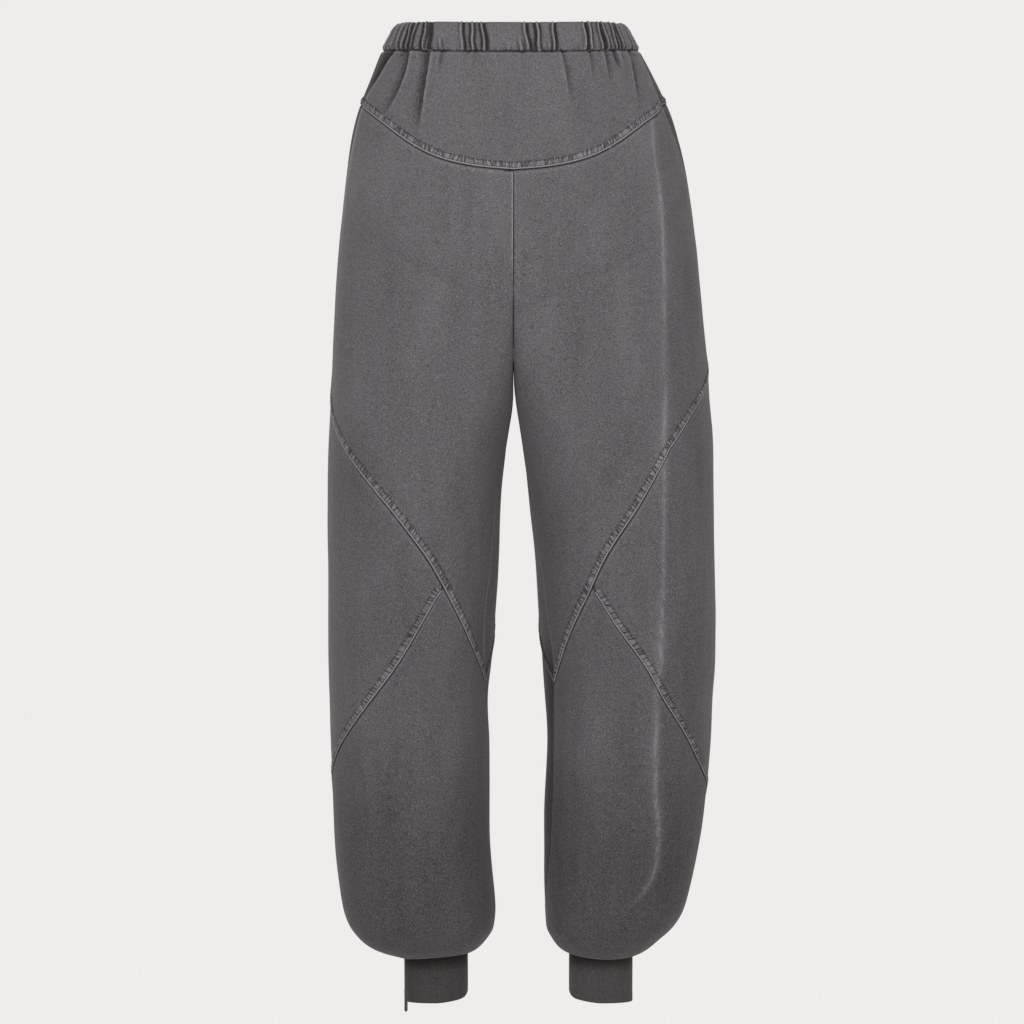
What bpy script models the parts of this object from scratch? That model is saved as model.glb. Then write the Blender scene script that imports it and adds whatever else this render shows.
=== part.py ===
"""Barrel-leg sweatpants: gathered waistband, curved yoke, knee seams and zipped ankle cuffs.

The garment is filled out with no wearer, so every piece is a thin wall round an empty hollow.
Metres, +Z up, +X to the wearer's left, and the garment faces -Y.
The origin is the middle of the waistband, where a waist holds the garment up.
Tables are in millimetres. "down" is the distance below the origin, "ahead" is toward -Y.
"across" runs over a front or a back from its inner edge (0) to the side seam (1).
"""
import math
import bpy
import bmesh
import numpy as np

MM = 0.001
SEAM_GAP = 0.3
CLOTH_THICKNESS = 1.6
BAND_THICKNESS = 3.2
CUFF_THICKNESS = 2.4
SEAM_BAND_WIDTH = 7.3
SEAM_BAND_HEIGHT = 1.1
SEAM_BAND_STEP = 1.2
# How much longer than wide the seam band runs where it meets the inner leg seam.
INSEAM_SLACK = 1.5

# Sections through both legs. outer and inner are distances from the centre plane, front and back
# from the plane of the sides. The hip seams are how far ahead of the widest point each side seam
# lies, and the inseams how far ahead of the innermost point each inner leg seam lies.
SECTION_COLUMNS = ("down", "right_outer", "left_outer", "right_inner", "left_inner",
                   "front", "back", "level", "right_hip_seam", "left_hip_seam",
                   "right_inseam", "left_inseam")
SECTIONS = (
    (-16, 119, 113, 0, 0, 87, 92, 0, 32, 22, 0, 0),
    (-7, 124, 118, 0, 0, 89, 94, 0, 33, 22, 0, 0),
    (3, 129, 123, 0, 0, 91, 96, 0, 33.5, 22, 0, 0),
    (15, 136, 130, 0, 0, 93, 98, 0, 34, 26, 0, 0),
    (45, 148, 146, 0, 0, 101, 107, 0, 34, 40.5, 0, 0),
    (85, 163, 164, 0, 0, 107, 117, 0, 34, 45, 0, 0),
    (130, 172, 176, 0, 0, 112, 126, 0, 32, 30.5, 0, 0),
    (190, 178, 186, 0, 0, 115, 132, 0, 21, 15, 0, 0),
    (255, 184, 193, 0.3, 0.3, 116, 131, 0, 2, 0, 0, 0),
    (312, 187, 199, 0.4, 0.4, 114, 126, 0, -6, -6, 0, 0),
    (340, 188, 202, 0.5, 0.5, 113, 122, 0, -7, -7, 7, 5),
    (366, 189.3, 203.4, 0.5, 0.9, 111.6, 118.4, 0, -7.8, -7.8, 14.5, 9.8),
    (378, 190, 204, 0.5, 2.2, 111, 117, 0, -8, -8, 18, 12),
    (420, 192, 207, 7, 9, 109, 111, 0.3, -8, -8, 28, 18),
    (480, 193, 208, 13, 16, 106, 104, 0.8, -8, -8, 41, 27),
    (545, 193, 209, 15, 23, 103, 100, 1.4, -8, -8, 53, 41),
    (600, 193, 210, 19, 26, 101, 99, 1.9, -8, -8, 57, 52),
    (650, 192, 210, 23, 30, 98, 99, 2.4, -8, -8, 48, 58),
    (690, 191, 207, 27, 33, 95, 98, 2.8, -8, -8, 26, 51),
    (730, 190, 205, 25, 35, 92, 97, 3.1, -8, -8, 9, 46),
    (815, 187, 197, 25, 32, 86, 94, 3.6, -8, -8, 2, 43),
    (870, 183, 187, 22, 32, 80, 89, 3.9, -8, -8, 0, 29),
    (905, 178, 178, 19, 33, 74, 83, 4, -6, -6, 0, 8),
    (925, 171, 167, 21, 34, 68, 77, 4, -4, -4, 0, 0),
    (940, 159, 151, 29, 41, 59, 68, 4, -2, -2, 0, 0),
    (950, 145, 138, 41, 51, 49, 58, 4, 0, 0, 0, 0),
    (957, 126, 130, 44, 54, 38, 47, 4, 0, 0, 0, 0),
    (960, 119, 128.5, 44, 54, 34, 43, 4, 0, 0, 0, 0),
)
RING_SAMPLES = 90
WALL_SAMPLES = 20
WALL_SHARE = 0.15
WALL_LEAST = 2.0
WALL_COLUMNS = 3
# The wall's share fades out over these distances at its top, and back in toward the knee.
WALL_FADE_TOP = 90.0
WALL_RETURN = 440.0
WALL_RETURN_LENGTH = 150.0
COLUMN_CROWDING = 1.1
# The side seams bend at the hips, so the straight edges of both panels keep further back there.
HIP_SLACK = 0.1
HIP_SLACK_FOOT = 240.0
HIP_SLACK_FADE = 40.0
HIP_ROUNDING = 2.5
LEG_ROUNDING = 2.25
CREASE_TOP = 262
CREASE_END = 500
BACK_RISE_TOP = 235
CROTCH = 312

# The waistband is level at the sides and dips at the front.
WAIST_TOP = {"front": -5.4, "side": -12.5, "back": -16.0}
WAIST_FOOT = {"front": 24.0, "side": 16.0, "back": 13.0}

# Seams over a front, from the inner edge to the side seam. x is the distance from the centre plane.
YOKE_SEAM = {
    "inner": 147, "side": 76,
    "points": ((27, 145), (53, 141), (78, 134), (98, 124), (118, 110), (136, 95), (151, 82)),
}
KNEE_SEAM = {
    "right": {"inner": 671, "side": 352,
              "points": ((46, 626), (58, 597), (72, 571), (91, 538), (107, 518), (123, 496),
                         (143, 473), (162, 448), (176, 428), (187, 397))},
    "left": {"inner": 671, "side": 334,
             "points": ((49, 645), (58, 621), (68, 597), (80, 572), (92, 545), (110, 517),
                        (127, 493), (144, 463), (154, 444), (168, 417), (185, 390), (200, 362))},
}
CALF_SEAM = {
    "right": {"side": 792, "start": (72, 574),
              "points": ((86, 599), (104, 629), (118, 653), (137, 677), (156, 703), (173, 727),
                         (184, 750))},
    "left": {"side": 792, "start": (81, 575),
             "points": ((95, 602), (113, 624), (130, 647), (142, 667), (155, 692), (173, 718),
                        (188, 749))},
}
# Seams over a back, as (across, down).
BACK_YOKE_SEAM = ((0, 118), (0.25, 113), (0.5, 99), (0.7, 81), (0.86, 71), (1, 75.5))
BACK_KNEE_SEAM = ((0, 671), (0.17, 622), (0.35, 560), (0.55, 487), (0.75, 420), (0.9, 372), (1, 343))

# Folds that fall from the waistband over the yokes: grooves from a top to a foot.
FOLD_COLUMNS = ("x_top", "x_foot", "down_foot", "depth", "half_width")
FOLD_FADE = 1.25
FRONT_FOLDS = (
    (-121, -134, 62, 3.4, 5),
    (-106, -136, 92, 3.2, 6),
    (-84, -97, 104, 3.6, 6),
    (-71, -74, 52, 2.0, 5),
    (-40, -43, 66, 1.4, 6),
    (8, 9, 60, 1.2, 6),
    (47, 60, 100, 2.8, 6),
    (84, 97, 76, 2.6, 6),
    (103, 113, 62, 3.4, 5),
    (121, 131, 76, 3.2, 5),
)
BACK_FOLDS = (
    (-118, -130, 58, 3.2, 6),
    (-97, -110, 84, 3.0, 7),
    (-70, -78, 92, 2.6, 7),
    (-34, -38, 66, 2.0, 7),
    (-6, -7, 76, 1.8, 7),
    (29, 33, 62, 2.2, 7),
    (58, 66, 94, 2.8, 7),
    (88, 101, 70, 2.6, 7),
    (113, 126, 84, 3.2, 6),
)
# A soft ridge runs down the left front where it turns to the side, as (down, x).
RIDGE_PATH = ((60, 136), (91, 141), (131, 144), (159, 148), (202, 152), (340, 154), (517, 153),
              (638, 150), (692, 146), (779, 145), (817, 148), (846, 147), (872, 141), (894, 125),
              (910, 108))
RIDGE_HEIGHT = 2.2
RIDGE_HALF_WIDTH = 8.0
RIDGE_FADE_TOP = 50.0
RIDGE_FADE_FOOT = 40.0

# Gathers of the waistband: x at the top edge and at the foot, and how high up each one reaches.
GATHER_COLUMNS = ("x_top", "x_foot", "reach", "height")
FRONT_GATHERS = (
    (-114, -121, 1, 2.2), (-108, -114, 1, 2.4), (-102, -108, 1, 1.8), (-96, -102, 1, 2.2),
    (-87, -89, 1, 2.6), (-75, -73, 0.5, 1.4), (-53, -49, 1, 2.4), (-42, -40, 1, 2.6),
    (-30, -28, 1, 2.2), (5, 7, 0.5, 1.4), (12, 15, 1, 2.4), (23, 25, 1, 2.4),
    (31, 33, 0.4, 1.2), (38, 40, 1, 2.2), (70, 72, 1, 2.0), (77, 80, 1, 2.4),
    (84, 89, 1, 2.2), (91, 96, 1, 2.4), (98, 103, 1, 2.2), (104, 110, 1, 2.2),
    (109, 118, 1, 2.0),
)
BACK_GATHERS = (
    (-114, -117, 1, 2.2), (-104, -108, 1, 2.4), (-95, -97, 0.6, 1.6), (-86, -90, 1, 2.4),
    (-74, -76, 1, 2.2), (-63, -62, 1, 2.4), (-47, -49, 0.5, 1.4), (-38, -37, 1, 2.4),
    (-27, -28, 1, 2.2), (-10, -8, 1, 2.0), (2, 3, 0.5, 1.4), (13, 12, 1, 2.4),
    (24, 27, 1, 2.2), (43, 42, 1, 2.4), (54, 57, 1, 2.4), (66, 68, 0.6, 1.6),
    (77, 80, 1, 2.4), (87, 91, 1, 2.2), (98, 101, 1, 2.4), (108, 113, 1, 2.2),
)
# Gathers round the sides, as the parts of a quarter of the band that lie inside of them.
SIDE_GATHERS = {
    ("right", "front"): ((0.86, 0.82, 1, 2.2), (0.94, 0.93, 1, 2.4)),
    ("left", "front"): ((0.80, 0.78, 1, 2.4), (0.88, 0.87, 1, 2.0), (0.96, 0.95, 1, 2.2)),
    ("right", "back"): ((0.83, 0.82, 1, 2.4), (0.92, 0.91, 1, 2.0)),
    ("left", "back"): ((0.80, 0.82, 1, 2.0), (0.91, 0.92, 1, 2.4)),
}
GATHER_HALF_WIDTH = 3.0
GATHER_GROOVE = 0.7
GATHER_CREST_LIFT = 0.6
GATHER_FOOT_LOSS = 0.35
GATHER_FADE = 0.2
# Lines of the band between its gathers stand this many half widths apart.
PLAIN_SPACING = 5.0
BAND_QUARTER = 185.0
BAND_ROWS = 3
# The band's edges turn inward over these parts of its height.
BAND_FOOT_TUCK = {"depth": 1.2, "part": 0.28}
BAND_TOP_TUCK = {"depth": 1.0, "part": 0.12}

# Levels of the thighs' rows along the inner edge, close together round the crotch.
THIGH_LEVELS = (188, 232, 262, 284, 300, 309, 315, 336, 372, 420, 478, 540, 600, 642)
# Levels below which the fronts and backs of the shins share their rows, down to the hem.
HEM_LEVELS = (815, 852, 882, 904, 920, 932, 941, 948, 953.5, 958.5)
HEM_TURN = 956.5
YOKE_ROWS = 4
# The wedge at the knee begins this high, just outside the junction of its two seams.
WEDGE_TIP_HEIGHT = 3.0
WEDGE_TIP_OFFSET = 0.004
WEDGE_ROWS = 8
SHIN_ROWS = 7

# Cuffs: closely knitted tubes with a zip let into the outer side of each.
CUFF_CENTRE = {"right": -80.5, "left": 90.8}
CUFF_LEVEL = 4.0
CUFF_HALF_WIDTH = 33.4
CUFF_HALF_DEPTH = 32.6
CUFF_ROUNDING = 2.2
CUFF_TOP = 946.0
CUFF_FOOT = 1003.4
CUFF_INNER_RISE = 10.0
CUFF_SEGMENTS = 24
CUFF_ROWS = 3
HEM_CLEARANCE = 0.9

ZIP_TURN = {"right": 30.0, "left": 42.0}
ZIP_TAPE_WIDTH = 9.0
ZIP_TAPE_THICKNESS = 1.2
ZIP_COIL_WIDTH = 4.0
ZIP_COIL_HEIGHT = 1.3
ZIP_COIL_TOP = 963.0
ZIP_COIL_FLANK = 0.4
ZIP_COIL_SLOPE = 0.5
# The tape's face lies this far inside the cuff's face.
ZIP_INSET = 0.5
SLIDER_SIZE = {"width": 7.0, "height": 9.0, "depth": 1.9, "corner": 1.5, "above_foot": 0.5}
SLIDER_RAISED = {"right": 0.0, "left": 11.0}
BRIDGE = {"width": 1.8, "top": 3.7, "foot": -1.0, "post": 1.0, "clear": 1.8, "bar": 0.8,
          "root": 0.4, "inset": 0.1, "lap": 0.2}
PIVOT_ABOVE_SLIDER = 1.1
PULL_LENGTH = 19.5
PULL_WIDTH = 4.8
PULL_THICKNESS = 1.1
PULL_ARM_WIDTH = 1.0
PULL_PLATE_START = 3.8
PULL_BAR_HEIGHT = 1.0
PULL_CORNER = 1.2

CLOTH_COLOUR = (0.128, 0.122, 0.127, 1)
CUFF_COLOUR = (0.060, 0.058, 0.057, 1)
TAPE_COLOUR = (0.050, 0.048, 0.048, 1)
METAL_COLOUR = (0.060, 0.058, 0.058, 1)


def smooth_curve(places, values):
    """A curve through (place, value) knots that never overshoots them."""
    places, values = np.asarray(places, float), np.asarray(values, float)
    step = np.diff(places)
    slope = np.diff(values) / step
    tangent = np.zeros_like(values)
    tangent[0], tangent[-1] = slope[0], slope[-1]
    for k in range(1, len(places) - 1):
        if slope[k - 1] * slope[k] > 0:
            before, after = 2 * step[k] + step[k - 1], step[k] + 2 * step[k - 1]
            tangent[k] = (before + after) / (before / slope[k - 1] + after / slope[k])

    def value_at(place):
        place = np.clip(np.asarray(place, float), places[0], places[-1])
        k = np.clip(np.searchsorted(places, place, side="right") - 1, 0, len(places) - 2)
        h = step[k]
        t = (place - places[k]) / h
        return ((1 + 2 * t) * (1 - t) ** 2 * values[k] + t * (1 - t) ** 2 * h * tangent[k]
                + t * t * (3 - 2 * t) * values[k + 1] + t * t * (t - 1) * h * tangent[k + 1])
    return value_at


SECTION = {name: smooth_curve([row[0] for row in SECTIONS], [row[k] for row in SECTIONS])
           for k, name in enumerate(SECTION_COLUMNS) if k}


def ease(t):
    t = np.clip(t, 0, 1)
    return t * t * (3 - 2 * t)


def half_rings(side, down):
    """One leg's ring at each level, as x, y and running length.

    It starts at the centre front (or at the innermost point of the leg), passes the front,
    the side and the back, and ends at the centre back (or where it started).
    """
    down = np.asarray(down, float)[:, None]
    outer, inner = SECTION[side + "_outer"](down), SECTION[side + "_inner"](down)
    front, back, level = (SECTION[name](down) for name in ("front", "back", "level"))
    parted = ease((down - CREASE_TOP) / (CREASE_END - CREASE_TOP))
    middle, half = (outer + inner) / 2, (outer - inner) / 2
    sweep = -np.cos(math.pi * np.linspace(0, 1, RING_SAMPLES))[None, :]
    x = middle + half * sweep
    leg = np.maximum(1 - np.abs(sweep) ** LEG_ROUNDING, 0) ** (1 / LEG_ROUNDING)
    hip = np.maximum(1 - np.minimum(x / outer, 1) ** HIP_ROUNDING, 0) ** (1 / HIP_ROUNDING)
    fullness = (1 - parted) * hip + parted * leg

    def rise(top):
        turn = np.clip((down - top) / (CROTCH - top), 0, 1)
        return np.minimum(np.sqrt(1 - turn * turn), 1 - parted)

    along_wall = np.linspace(0, 1, WALL_SAMPLES)[None, :-1]
    front_wall = rise(CREASE_TOP) * (1 - along_wall) + (1 - parted) * along_wall
    back_wall = rise(BACK_RISE_TOP) * (1 - along_wall) + (1 - parted) * along_wall
    wall_x = np.broadcast_to(inner, front_wall.shape)
    xs = np.concatenate([wall_x, x, x[:, -2::-1], wall_x[:, ::-1]], 1)
    ys = np.concatenate([level - (front + level) * front_wall, level - (front + level) * fullness,
                         (level + (back - level) * fullness)[:, -2::-1],
                         (level + (back - level) * back_wall)[:, ::-1]], 1)
    run = np.concatenate([np.zeros((len(xs), 1)),
                          np.cumsum(np.hypot(np.diff(xs, axis=1), np.diff(ys, axis=1)), 1)], 1)
    widest = run[:, WALL_SAMPLES + RING_SAMPLES - 2]
    return xs, ys, run, widest


def base_points(side, face, across, down, inner_gap=0.0, side_gap=0.0, to_widest=False):
    """Points of the plain surface in millimetres, with gaps left at a panel's two upright edges.

    The first WALL_SHARE of across is the flat wall between the legs, so that one column follows
    the edge where that wall turns into the front or the back.
    """
    across, down = np.broadcast_arrays(np.asarray(across, float), np.asarray(down, float))
    shape = across.shape
    across, down = across.ravel(), down.ravel()
    side_gap = np.broadcast_to(side_gap, shape).ravel()
    xs, ys, run, widest = half_rings(side, down)
    seam = widest - (0 if to_widest else SECTION[side + "_hip_seam"](down))
    inseam = SECTION[side + "_inseam"](down)
    total = run[:, -1]
    if face == "front":
        wall_length = run[:, WALL_SAMPLES - 1] - inseam
        length = seam - inseam
    else:
        wall_length = total - run[:, -WALL_SAMPLES] + inseam
        length = total + inseam - seam
    share = WALL_SHARE * (ease((CREASE_TOP - down) / WALL_FADE_TOP)
                          + ease((down - WALL_RETURN) / WALL_RETURN_LENGTH))
    wall_part = np.maximum(wall_length, share * length + WALL_LEAST) / length
    spread = np.where(across < WALL_SHARE, across / WALL_SHARE * wall_part,
                      wall_part + (across - WALL_SHARE) / (1 - WALL_SHARE) * (1 - wall_part))
    reach = inner_gap + spread * (length - inner_gap - side_gap)
    place = inseam + reach if face == "front" else total + inseam - reach
    place = np.where(place > total, place - total, place)
    k = np.clip((run < place[:, None]).sum(1) - 1, 0, run.shape[1] - 2)
    row = np.arange(len(across))
    t = (place - run[row, k]) / np.maximum(run[row, k + 1] - run[row, k], 1e-9)
    x = xs[row, k] + (xs[row, k + 1] - xs[row, k]) * t
    y = ys[row, k] + (ys[row, k + 1] - ys[row, k]) * t
    if side == "right":
        x = -x
    return np.stack([x, y, -down], -1).reshape(shape + (3,))


def normals(side, face, across, down, to_widest=False):
    """Outward directions, taken over a short step so that the inside stays smooth in a crease."""
    step_across, step_down = 0.02, 5.0
    right, left = np.clip(across + step_across, 0, 1), np.clip(across - step_across, 0, 1)
    along = (base_points(side, face, right, down, to_widest=to_widest)
             - base_points(side, face, left, down, to_widest=to_widest))
    below = base_points(side, face, across, down + step_down, to_widest=to_widest)
    above = base_points(side, face, across, down - step_down, to_widest=to_widest)
    direction = np.cross(along, above - below)
    if (side == "left") != (face == "front"):
        direction = -direction
    return direction / np.maximum(np.linalg.norm(direction, axis=-1, keepdims=True), 1e-9)


def across_of(side, x, down):
    """How far across the front the point lies that is x from the centre plane."""
    line = np.linspace(0, 1, 401)
    points = base_points(side, "front", line, np.full(line.shape, float(down)))
    reach = np.abs(points[:, 0])
    first = int(np.argmin(reach))
    last = int(np.argmax(reach))
    return float(np.interp(x, reach[first:last + 1], line[first:last + 1]))


def front_seam(side, table, start=None):
    """A seam over the front as a curve of down against across."""
    knots = [(0.0, table["inner"])] if start is None else [(start, table["start"][1])]
    knots += [(across_of(side, x, down), down) for x, down in table["points"]]
    knots.append((1.0, table["side"]))
    return smooth_curve([k[0] for k in knots], [k[1] for k in knots])


def fold_relief(points, down, folds):
    """Depth of the soft grooves that fall from the waistband."""
    relief = np.zeros(points.shape[:-1])
    for row in folds:
        fold = dict(zip(FOLD_COLUMNS, row))
        fall = (down - WAIST_FOOT["side"]) / (fold["down_foot"] - WAIST_FOOT["side"])
        path = fold["x_top"] + (fold["x_foot"] - fold["x_top"]) * fall
        fade = ease(FOLD_FADE * (1 - fall))
        offset = (points[..., 0] - path) / fold["half_width"]
        relief -= fold["depth"] * fade * np.exp(-offset * offset)
    return relief


def ridge_relief(points, down):
    path = smooth_curve([p[0] for p in RIDGE_PATH], [p[1] for p in RIDGE_PATH])
    ends = (ease((down - RIDGE_PATH[0][0]) / RIDGE_FADE_TOP)
            * ease((RIDGE_PATH[-1][0] - down) / RIDGE_FADE_FOOT))
    offset = (points[..., 0] - path(down)) / RIDGE_HALF_WIDTH
    return RIDGE_HEIGHT * ends * np.exp(-offset * offset)


def new_material(name, colour, roughness, metallic=0.0):
    material = bpy.data.materials.new(name)
    material.use_nodes = True
    shader = material.node_tree.nodes["Principled BSDF"]
    shader.inputs["Base Color"].default_value = colour
    shader.inputs["Roughness"].default_value = roughness
    shader.inputs["Metallic"].default_value = metallic
    return material


def new_object(name, verts, faces, material):
    """A closed solid from points in millimetres, with its faces turned outward."""
    mesh = bpy.data.meshes.new(name)
    mesh.from_pydata([tuple(float(c) * MM for c in v) for v in verts], [], faces)
    work = bmesh.new()
    work.from_mesh(mesh)
    bmesh.ops.recalc_face_normals(work, faces=work.faces)
    work.to_mesh(mesh)
    work.free()
    mesh.materials.append(material)
    mesh.shade_smooth()
    mesh.set_sharp_from_angle(angle=math.radians(40))
    obj = bpy.data.objects.new(name, mesh)
    bpy.context.collection.objects.link(obj)
    return obj


def wall(name, outer, inner, material, closed=False):
    """A wall between two grids of points, rows by columns. closed joins the last column to the first."""
    rows, cols = outer.shape[:2]
    verts = list(outer.reshape(-1, 3)) + list(inner.reshape(-1, 3))
    back = rows * cols

    def at(row, col):
        return row * cols + col % cols

    faces = []
    for col in range(cols if closed else cols - 1):
        for row in range(rows - 1):
            quad = (at(row, col), at(row, col + 1), at(row + 1, col + 1), at(row + 1, col))
            faces += [quad, tuple(back + v for v in reversed(quad))]
        faces.append((at(0, col + 1), at(0, col), back + at(0, col), back + at(0, col + 1)))
        foot = rows - 1
        faces.append((at(foot, col), at(foot, col + 1), back + at(foot, col + 1),
                      back + at(foot, col)))
    if not closed:
        for col in (0, cols - 1):
            for row in range(rows - 1):
                quad = (at(row, col), at(row + 1, col), back + at(row + 1, col), back + at(row, col))
                faces.append(quad if col == 0 else tuple(reversed(quad)))
    return new_object(name, verts, faces, material)


def edge_slack(side, face, columns, edge):
    """Half the seam gap, lengthened where the seam runs steeply across the columns."""
    points = base_points(side, face, columns, edge)
    flat = np.linalg.norm(np.diff(points[:, :2], axis=0), axis=1)
    steep = np.hypot(flat, np.diff(edge)) / np.maximum(flat, 1e-6)
    return np.maximum(np.r_[steep[0], steep], np.r_[steep, steep[-1]])


def banded_rows(side, face, columns, top, foot, count=0, levels=()):
    """Down values of a panel, rows by columns, and each row's height: the foot has a raised band.

    The rows are evenly spread, or pass through the given levels at the panel's inner edge.
    """
    top = top + SEAM_GAP / 2 * edge_slack(side, face, columns, top)
    slack = edge_slack(side, face, columns, foot)
    foot = foot - SEAM_GAP / 2 * slack
    height = foot - top
    if levels:
        slack[0] = INSEAM_SLACK
    width = np.minimum(SEAM_BAND_WIDTH * slack, 0.5 * height)
    rise = np.minimum((SEAM_BAND_WIDTH + SEAM_BAND_STEP) * slack, 0.7 * height)
    main = height - rise
    steps = np.linspace(0, 1, count) if count else \
        np.array((0, *((np.array(levels) - top[0]) / main[0]), 1))
    rows = list(top + main * steps[:, None]) + [foot - width, foot]
    return np.array(rows), [0.0] * len(steps) + [SEAM_BAND_HEIGHT, SEAM_BAND_HEIGHT]


def shin_rows(side, face, columns, top, steps):
    """Down values of a shin, whose lower rows are level."""
    top = top + SEAM_GAP / 2 * edge_slack(side, face, columns, top)
    rows = list(top + (HEM_LEVELS[0] - top) * np.asarray(steps)[:, None])
    rows += [np.full(len(columns), float(level)) for level in HEM_LEVELS[1:]]
    return np.array(rows), [0.0] * len(rows)


def panel_grids(side, face, columns, down, relief, folds=None, inner_gap=SEAM_GAP / 2):
    """Outer and inner points of a panel."""
    across = np.broadcast_to(columns, down.shape)
    side_gap = SEAM_GAP / 2 + HIP_SLACK * ease((HIP_SLACK_FOOT - down) / HIP_SLACK_FADE)
    points = base_points(side, face, across, down, inner_gap, side_gap)
    direction = normals(side, face, across, down)
    raised = np.broadcast_to(np.asarray(relief)[:, None], down.shape).copy()
    if folds is not None:
        raised = raised + fold_relief(points, down, folds)
    if side == "left" and face == "front":
        raised = raised + ridge_relief(points, down)
    outer = points + direction * raised[..., None]
    inner = points + direction * (np.minimum(raised, 0) - CLOTH_THICKNESS)[..., None]
    return outer, inner


def even_columns(count, through=None):
    """Columns over the wall and then the face, one of which passes through a given place."""
    wall = np.linspace(0, WALL_SHARE, WALL_COLUMNS + 1)
    steps = np.linspace(0, 1, count - WALL_COLUMNS + 1) ** COLUMN_CROWDING
    face = WALL_SHARE + (1 - WALL_SHARE) * steps
    if through is not None:
        nearest = int(np.argmin(np.abs(face - through)))
        low = WALL_SHARE + (face[:nearest + 1] - WALL_SHARE) * ((through - WALL_SHARE)
                                                              / (face[nearest] - WALL_SHARE))
        high = 1 - (1 - face[nearest:]) * ((1 - through) / (1 - face[nearest]))
        face = np.r_[low, high[1:]]
    return np.r_[wall[:-1], face]


def finer(values):
    """The same columns with one more between each pair."""
    middles = (values[1:] + values[:-1]) / 2
    return np.insert(values, np.arange(1, len(values)), middles)


def waist_level(table, side, face, across, to_widest=False):
    """The level of the waistband's top or foot, from how far ahead or behind a place lies."""
    ahead = base_points(side, face, across, WAIST_FOOT["side"], to_widest=to_widest)[..., 1]
    front, back = (float(SECTION[name](WAIST_FOOT["side"])) for name in ("front", "back"))
    return table["side"] + np.where(ahead < 0, (table["front"] - table["side"]) * (ahead / front) ** 2,
                                    (table["back"] - table["side"]) * (ahead / back) ** 2)


def cuff_ring(side, turn, proud=0.0):
    """A point on the cuff in millimetres. turn is in radians from the outer side toward the back."""
    away = -1 if side == "right" else 1
    c, s = np.cos(turn), np.sin(turn)
    size = (np.abs(c / (CUFF_HALF_WIDTH + proud)) ** CUFF_ROUNDING
            + np.abs(s / (CUFF_HALF_DEPTH + proud)) ** CUFF_ROUNDING) ** (-1 / CUFF_ROUNDING)
    return CUFF_CENTRE[side] + away * size * c, CUFF_LEVEL + size * s


def cuff_foot(turn):
    """The foot of the cuff rises toward the inner side."""
    inward = np.maximum(-np.cos(turn), 0)
    return CUFF_FOOT - CUFF_INNER_RISE * inward ** 3


class Leg:
    """The columns and seams that one leg's panels share."""

    front_count = 15
    back_count = 14

    def __init__(self, side):
        self.side = side
        start_x, start_down = CALF_SEAM[side]["start"]
        self.junction = across_of(side, start_x, start_down)
        self.front = even_columns(self.front_count, self.junction)
        self.back = even_columns(self.back_count)
        self.yoke = front_seam(side, YOKE_SEAM)(self.front)
        self.knee = front_seam(side, KNEE_SEAM[side])(self.front)
        calf = front_seam(side, CALF_SEAM[side], self.junction)(self.front)
        self.outside = self.front > self.junction - 1e-6
        self.calf = np.where(self.outside, np.maximum(calf, self.knee + WEDGE_TIP_HEIGHT), self.knee)
        back_yoke = smooth_curve(*zip(*BACK_YOKE_SEAM))
        back_knee = smooth_curve(*zip(*BACK_KNEE_SEAM))
        self.back_yoke, self.back_knee = back_yoke(self.back), back_knee(self.back)


def build_waistband(material):
    """A ring with its gathers raised on the outside over a plain inside."""
    outer_columns, inner_columns = [], []
    quarters = (("left", "front", FRONT_GATHERS, 1), ("left", "back", BACK_GATHERS, -1),
                ("right", "back", BACK_GATHERS, 1), ("right", "front", FRONT_GATHERS, -1))
    for side, face, gathers, way in quarters:
        sign = 1 if side == "left" else -1
        own = [row for row in gathers if sign * row[0] > 0]
        lines = gather_lines(side, face, own)
        if way < 0:
            lines = lines[::-1]
        for top_place, foot_place, lift, reach in lines[:-1]:
            outer, inner = band_column(side, face, top_place, foot_place, lift, reach)
            outer_columns.append(outer)
            inner_columns.append(inner)
    return wall("waistband", np.stack(outer_columns, 1), np.stack(inner_columns, 1), material, True)


def gather_lines(side, face, gathers):
    """Upright lines of a quarter of the band: across at top and foot, lift and reach."""
    width = GATHER_HALF_WIDTH / BAND_QUARTER
    crests = []
    for row in sorted(gathers, key=lambda r: abs(r[0])):
        gather = dict(zip(GATHER_COLUMNS, row))
        top = band_across(side, face, abs(gather["x_top"]), WAIST_TOP["side"])
        foot = band_across(side, face, abs(gather["x_foot"]), WAIST_FOOT["side"])
        crests.append((top, foot, gather["height"], gather["reach"]))
    crests += [(top, foot, height, reach) for top, foot, reach, height in SIDE_GATHERS[side, face]]
    lines = [(0.0, 0.0, 0.0, 1.0)]
    for k, (top, foot, height, reach) in enumerate(crests):
        before, after = lines[-1], crests[k + 1] if k + 1 < len(crests) else (1.0, 1.0, 0, 1)
        left = (max(top - width, (top + before[0]) / 2), max(foot - width, (foot + before[1]) / 2))
        right = (min(top + width, (top + after[0]) / 2), min(foot + width, (foot + after[1]) / 2))
        flat_lines = int((left[0] - before[0]) / (PLAIN_SPACING * width))
        for step in range(1, flat_lines + 1):
            t = step / (flat_lines + 1)
            lines.append((before[0] + (left[0] - before[0]) * t,
                          before[1] + (left[1] - before[1]) * t, 0.0, 1.0))
        if left[0] - before[0] > 0.4 * width:
            lines.append((left[0], left[1], -GATHER_GROOVE, reach))
        lines.append((top, foot, height, reach))
        if k + 1 == len(crests) or after[0] - right[0] < 0.6 * width or after[0] - top > 3 * width:
            lines.append((right[0], right[1], -GATHER_GROOVE, reach))
    lines.append((1.0, 1.0, 0.0, 1.0))
    return lines


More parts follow.
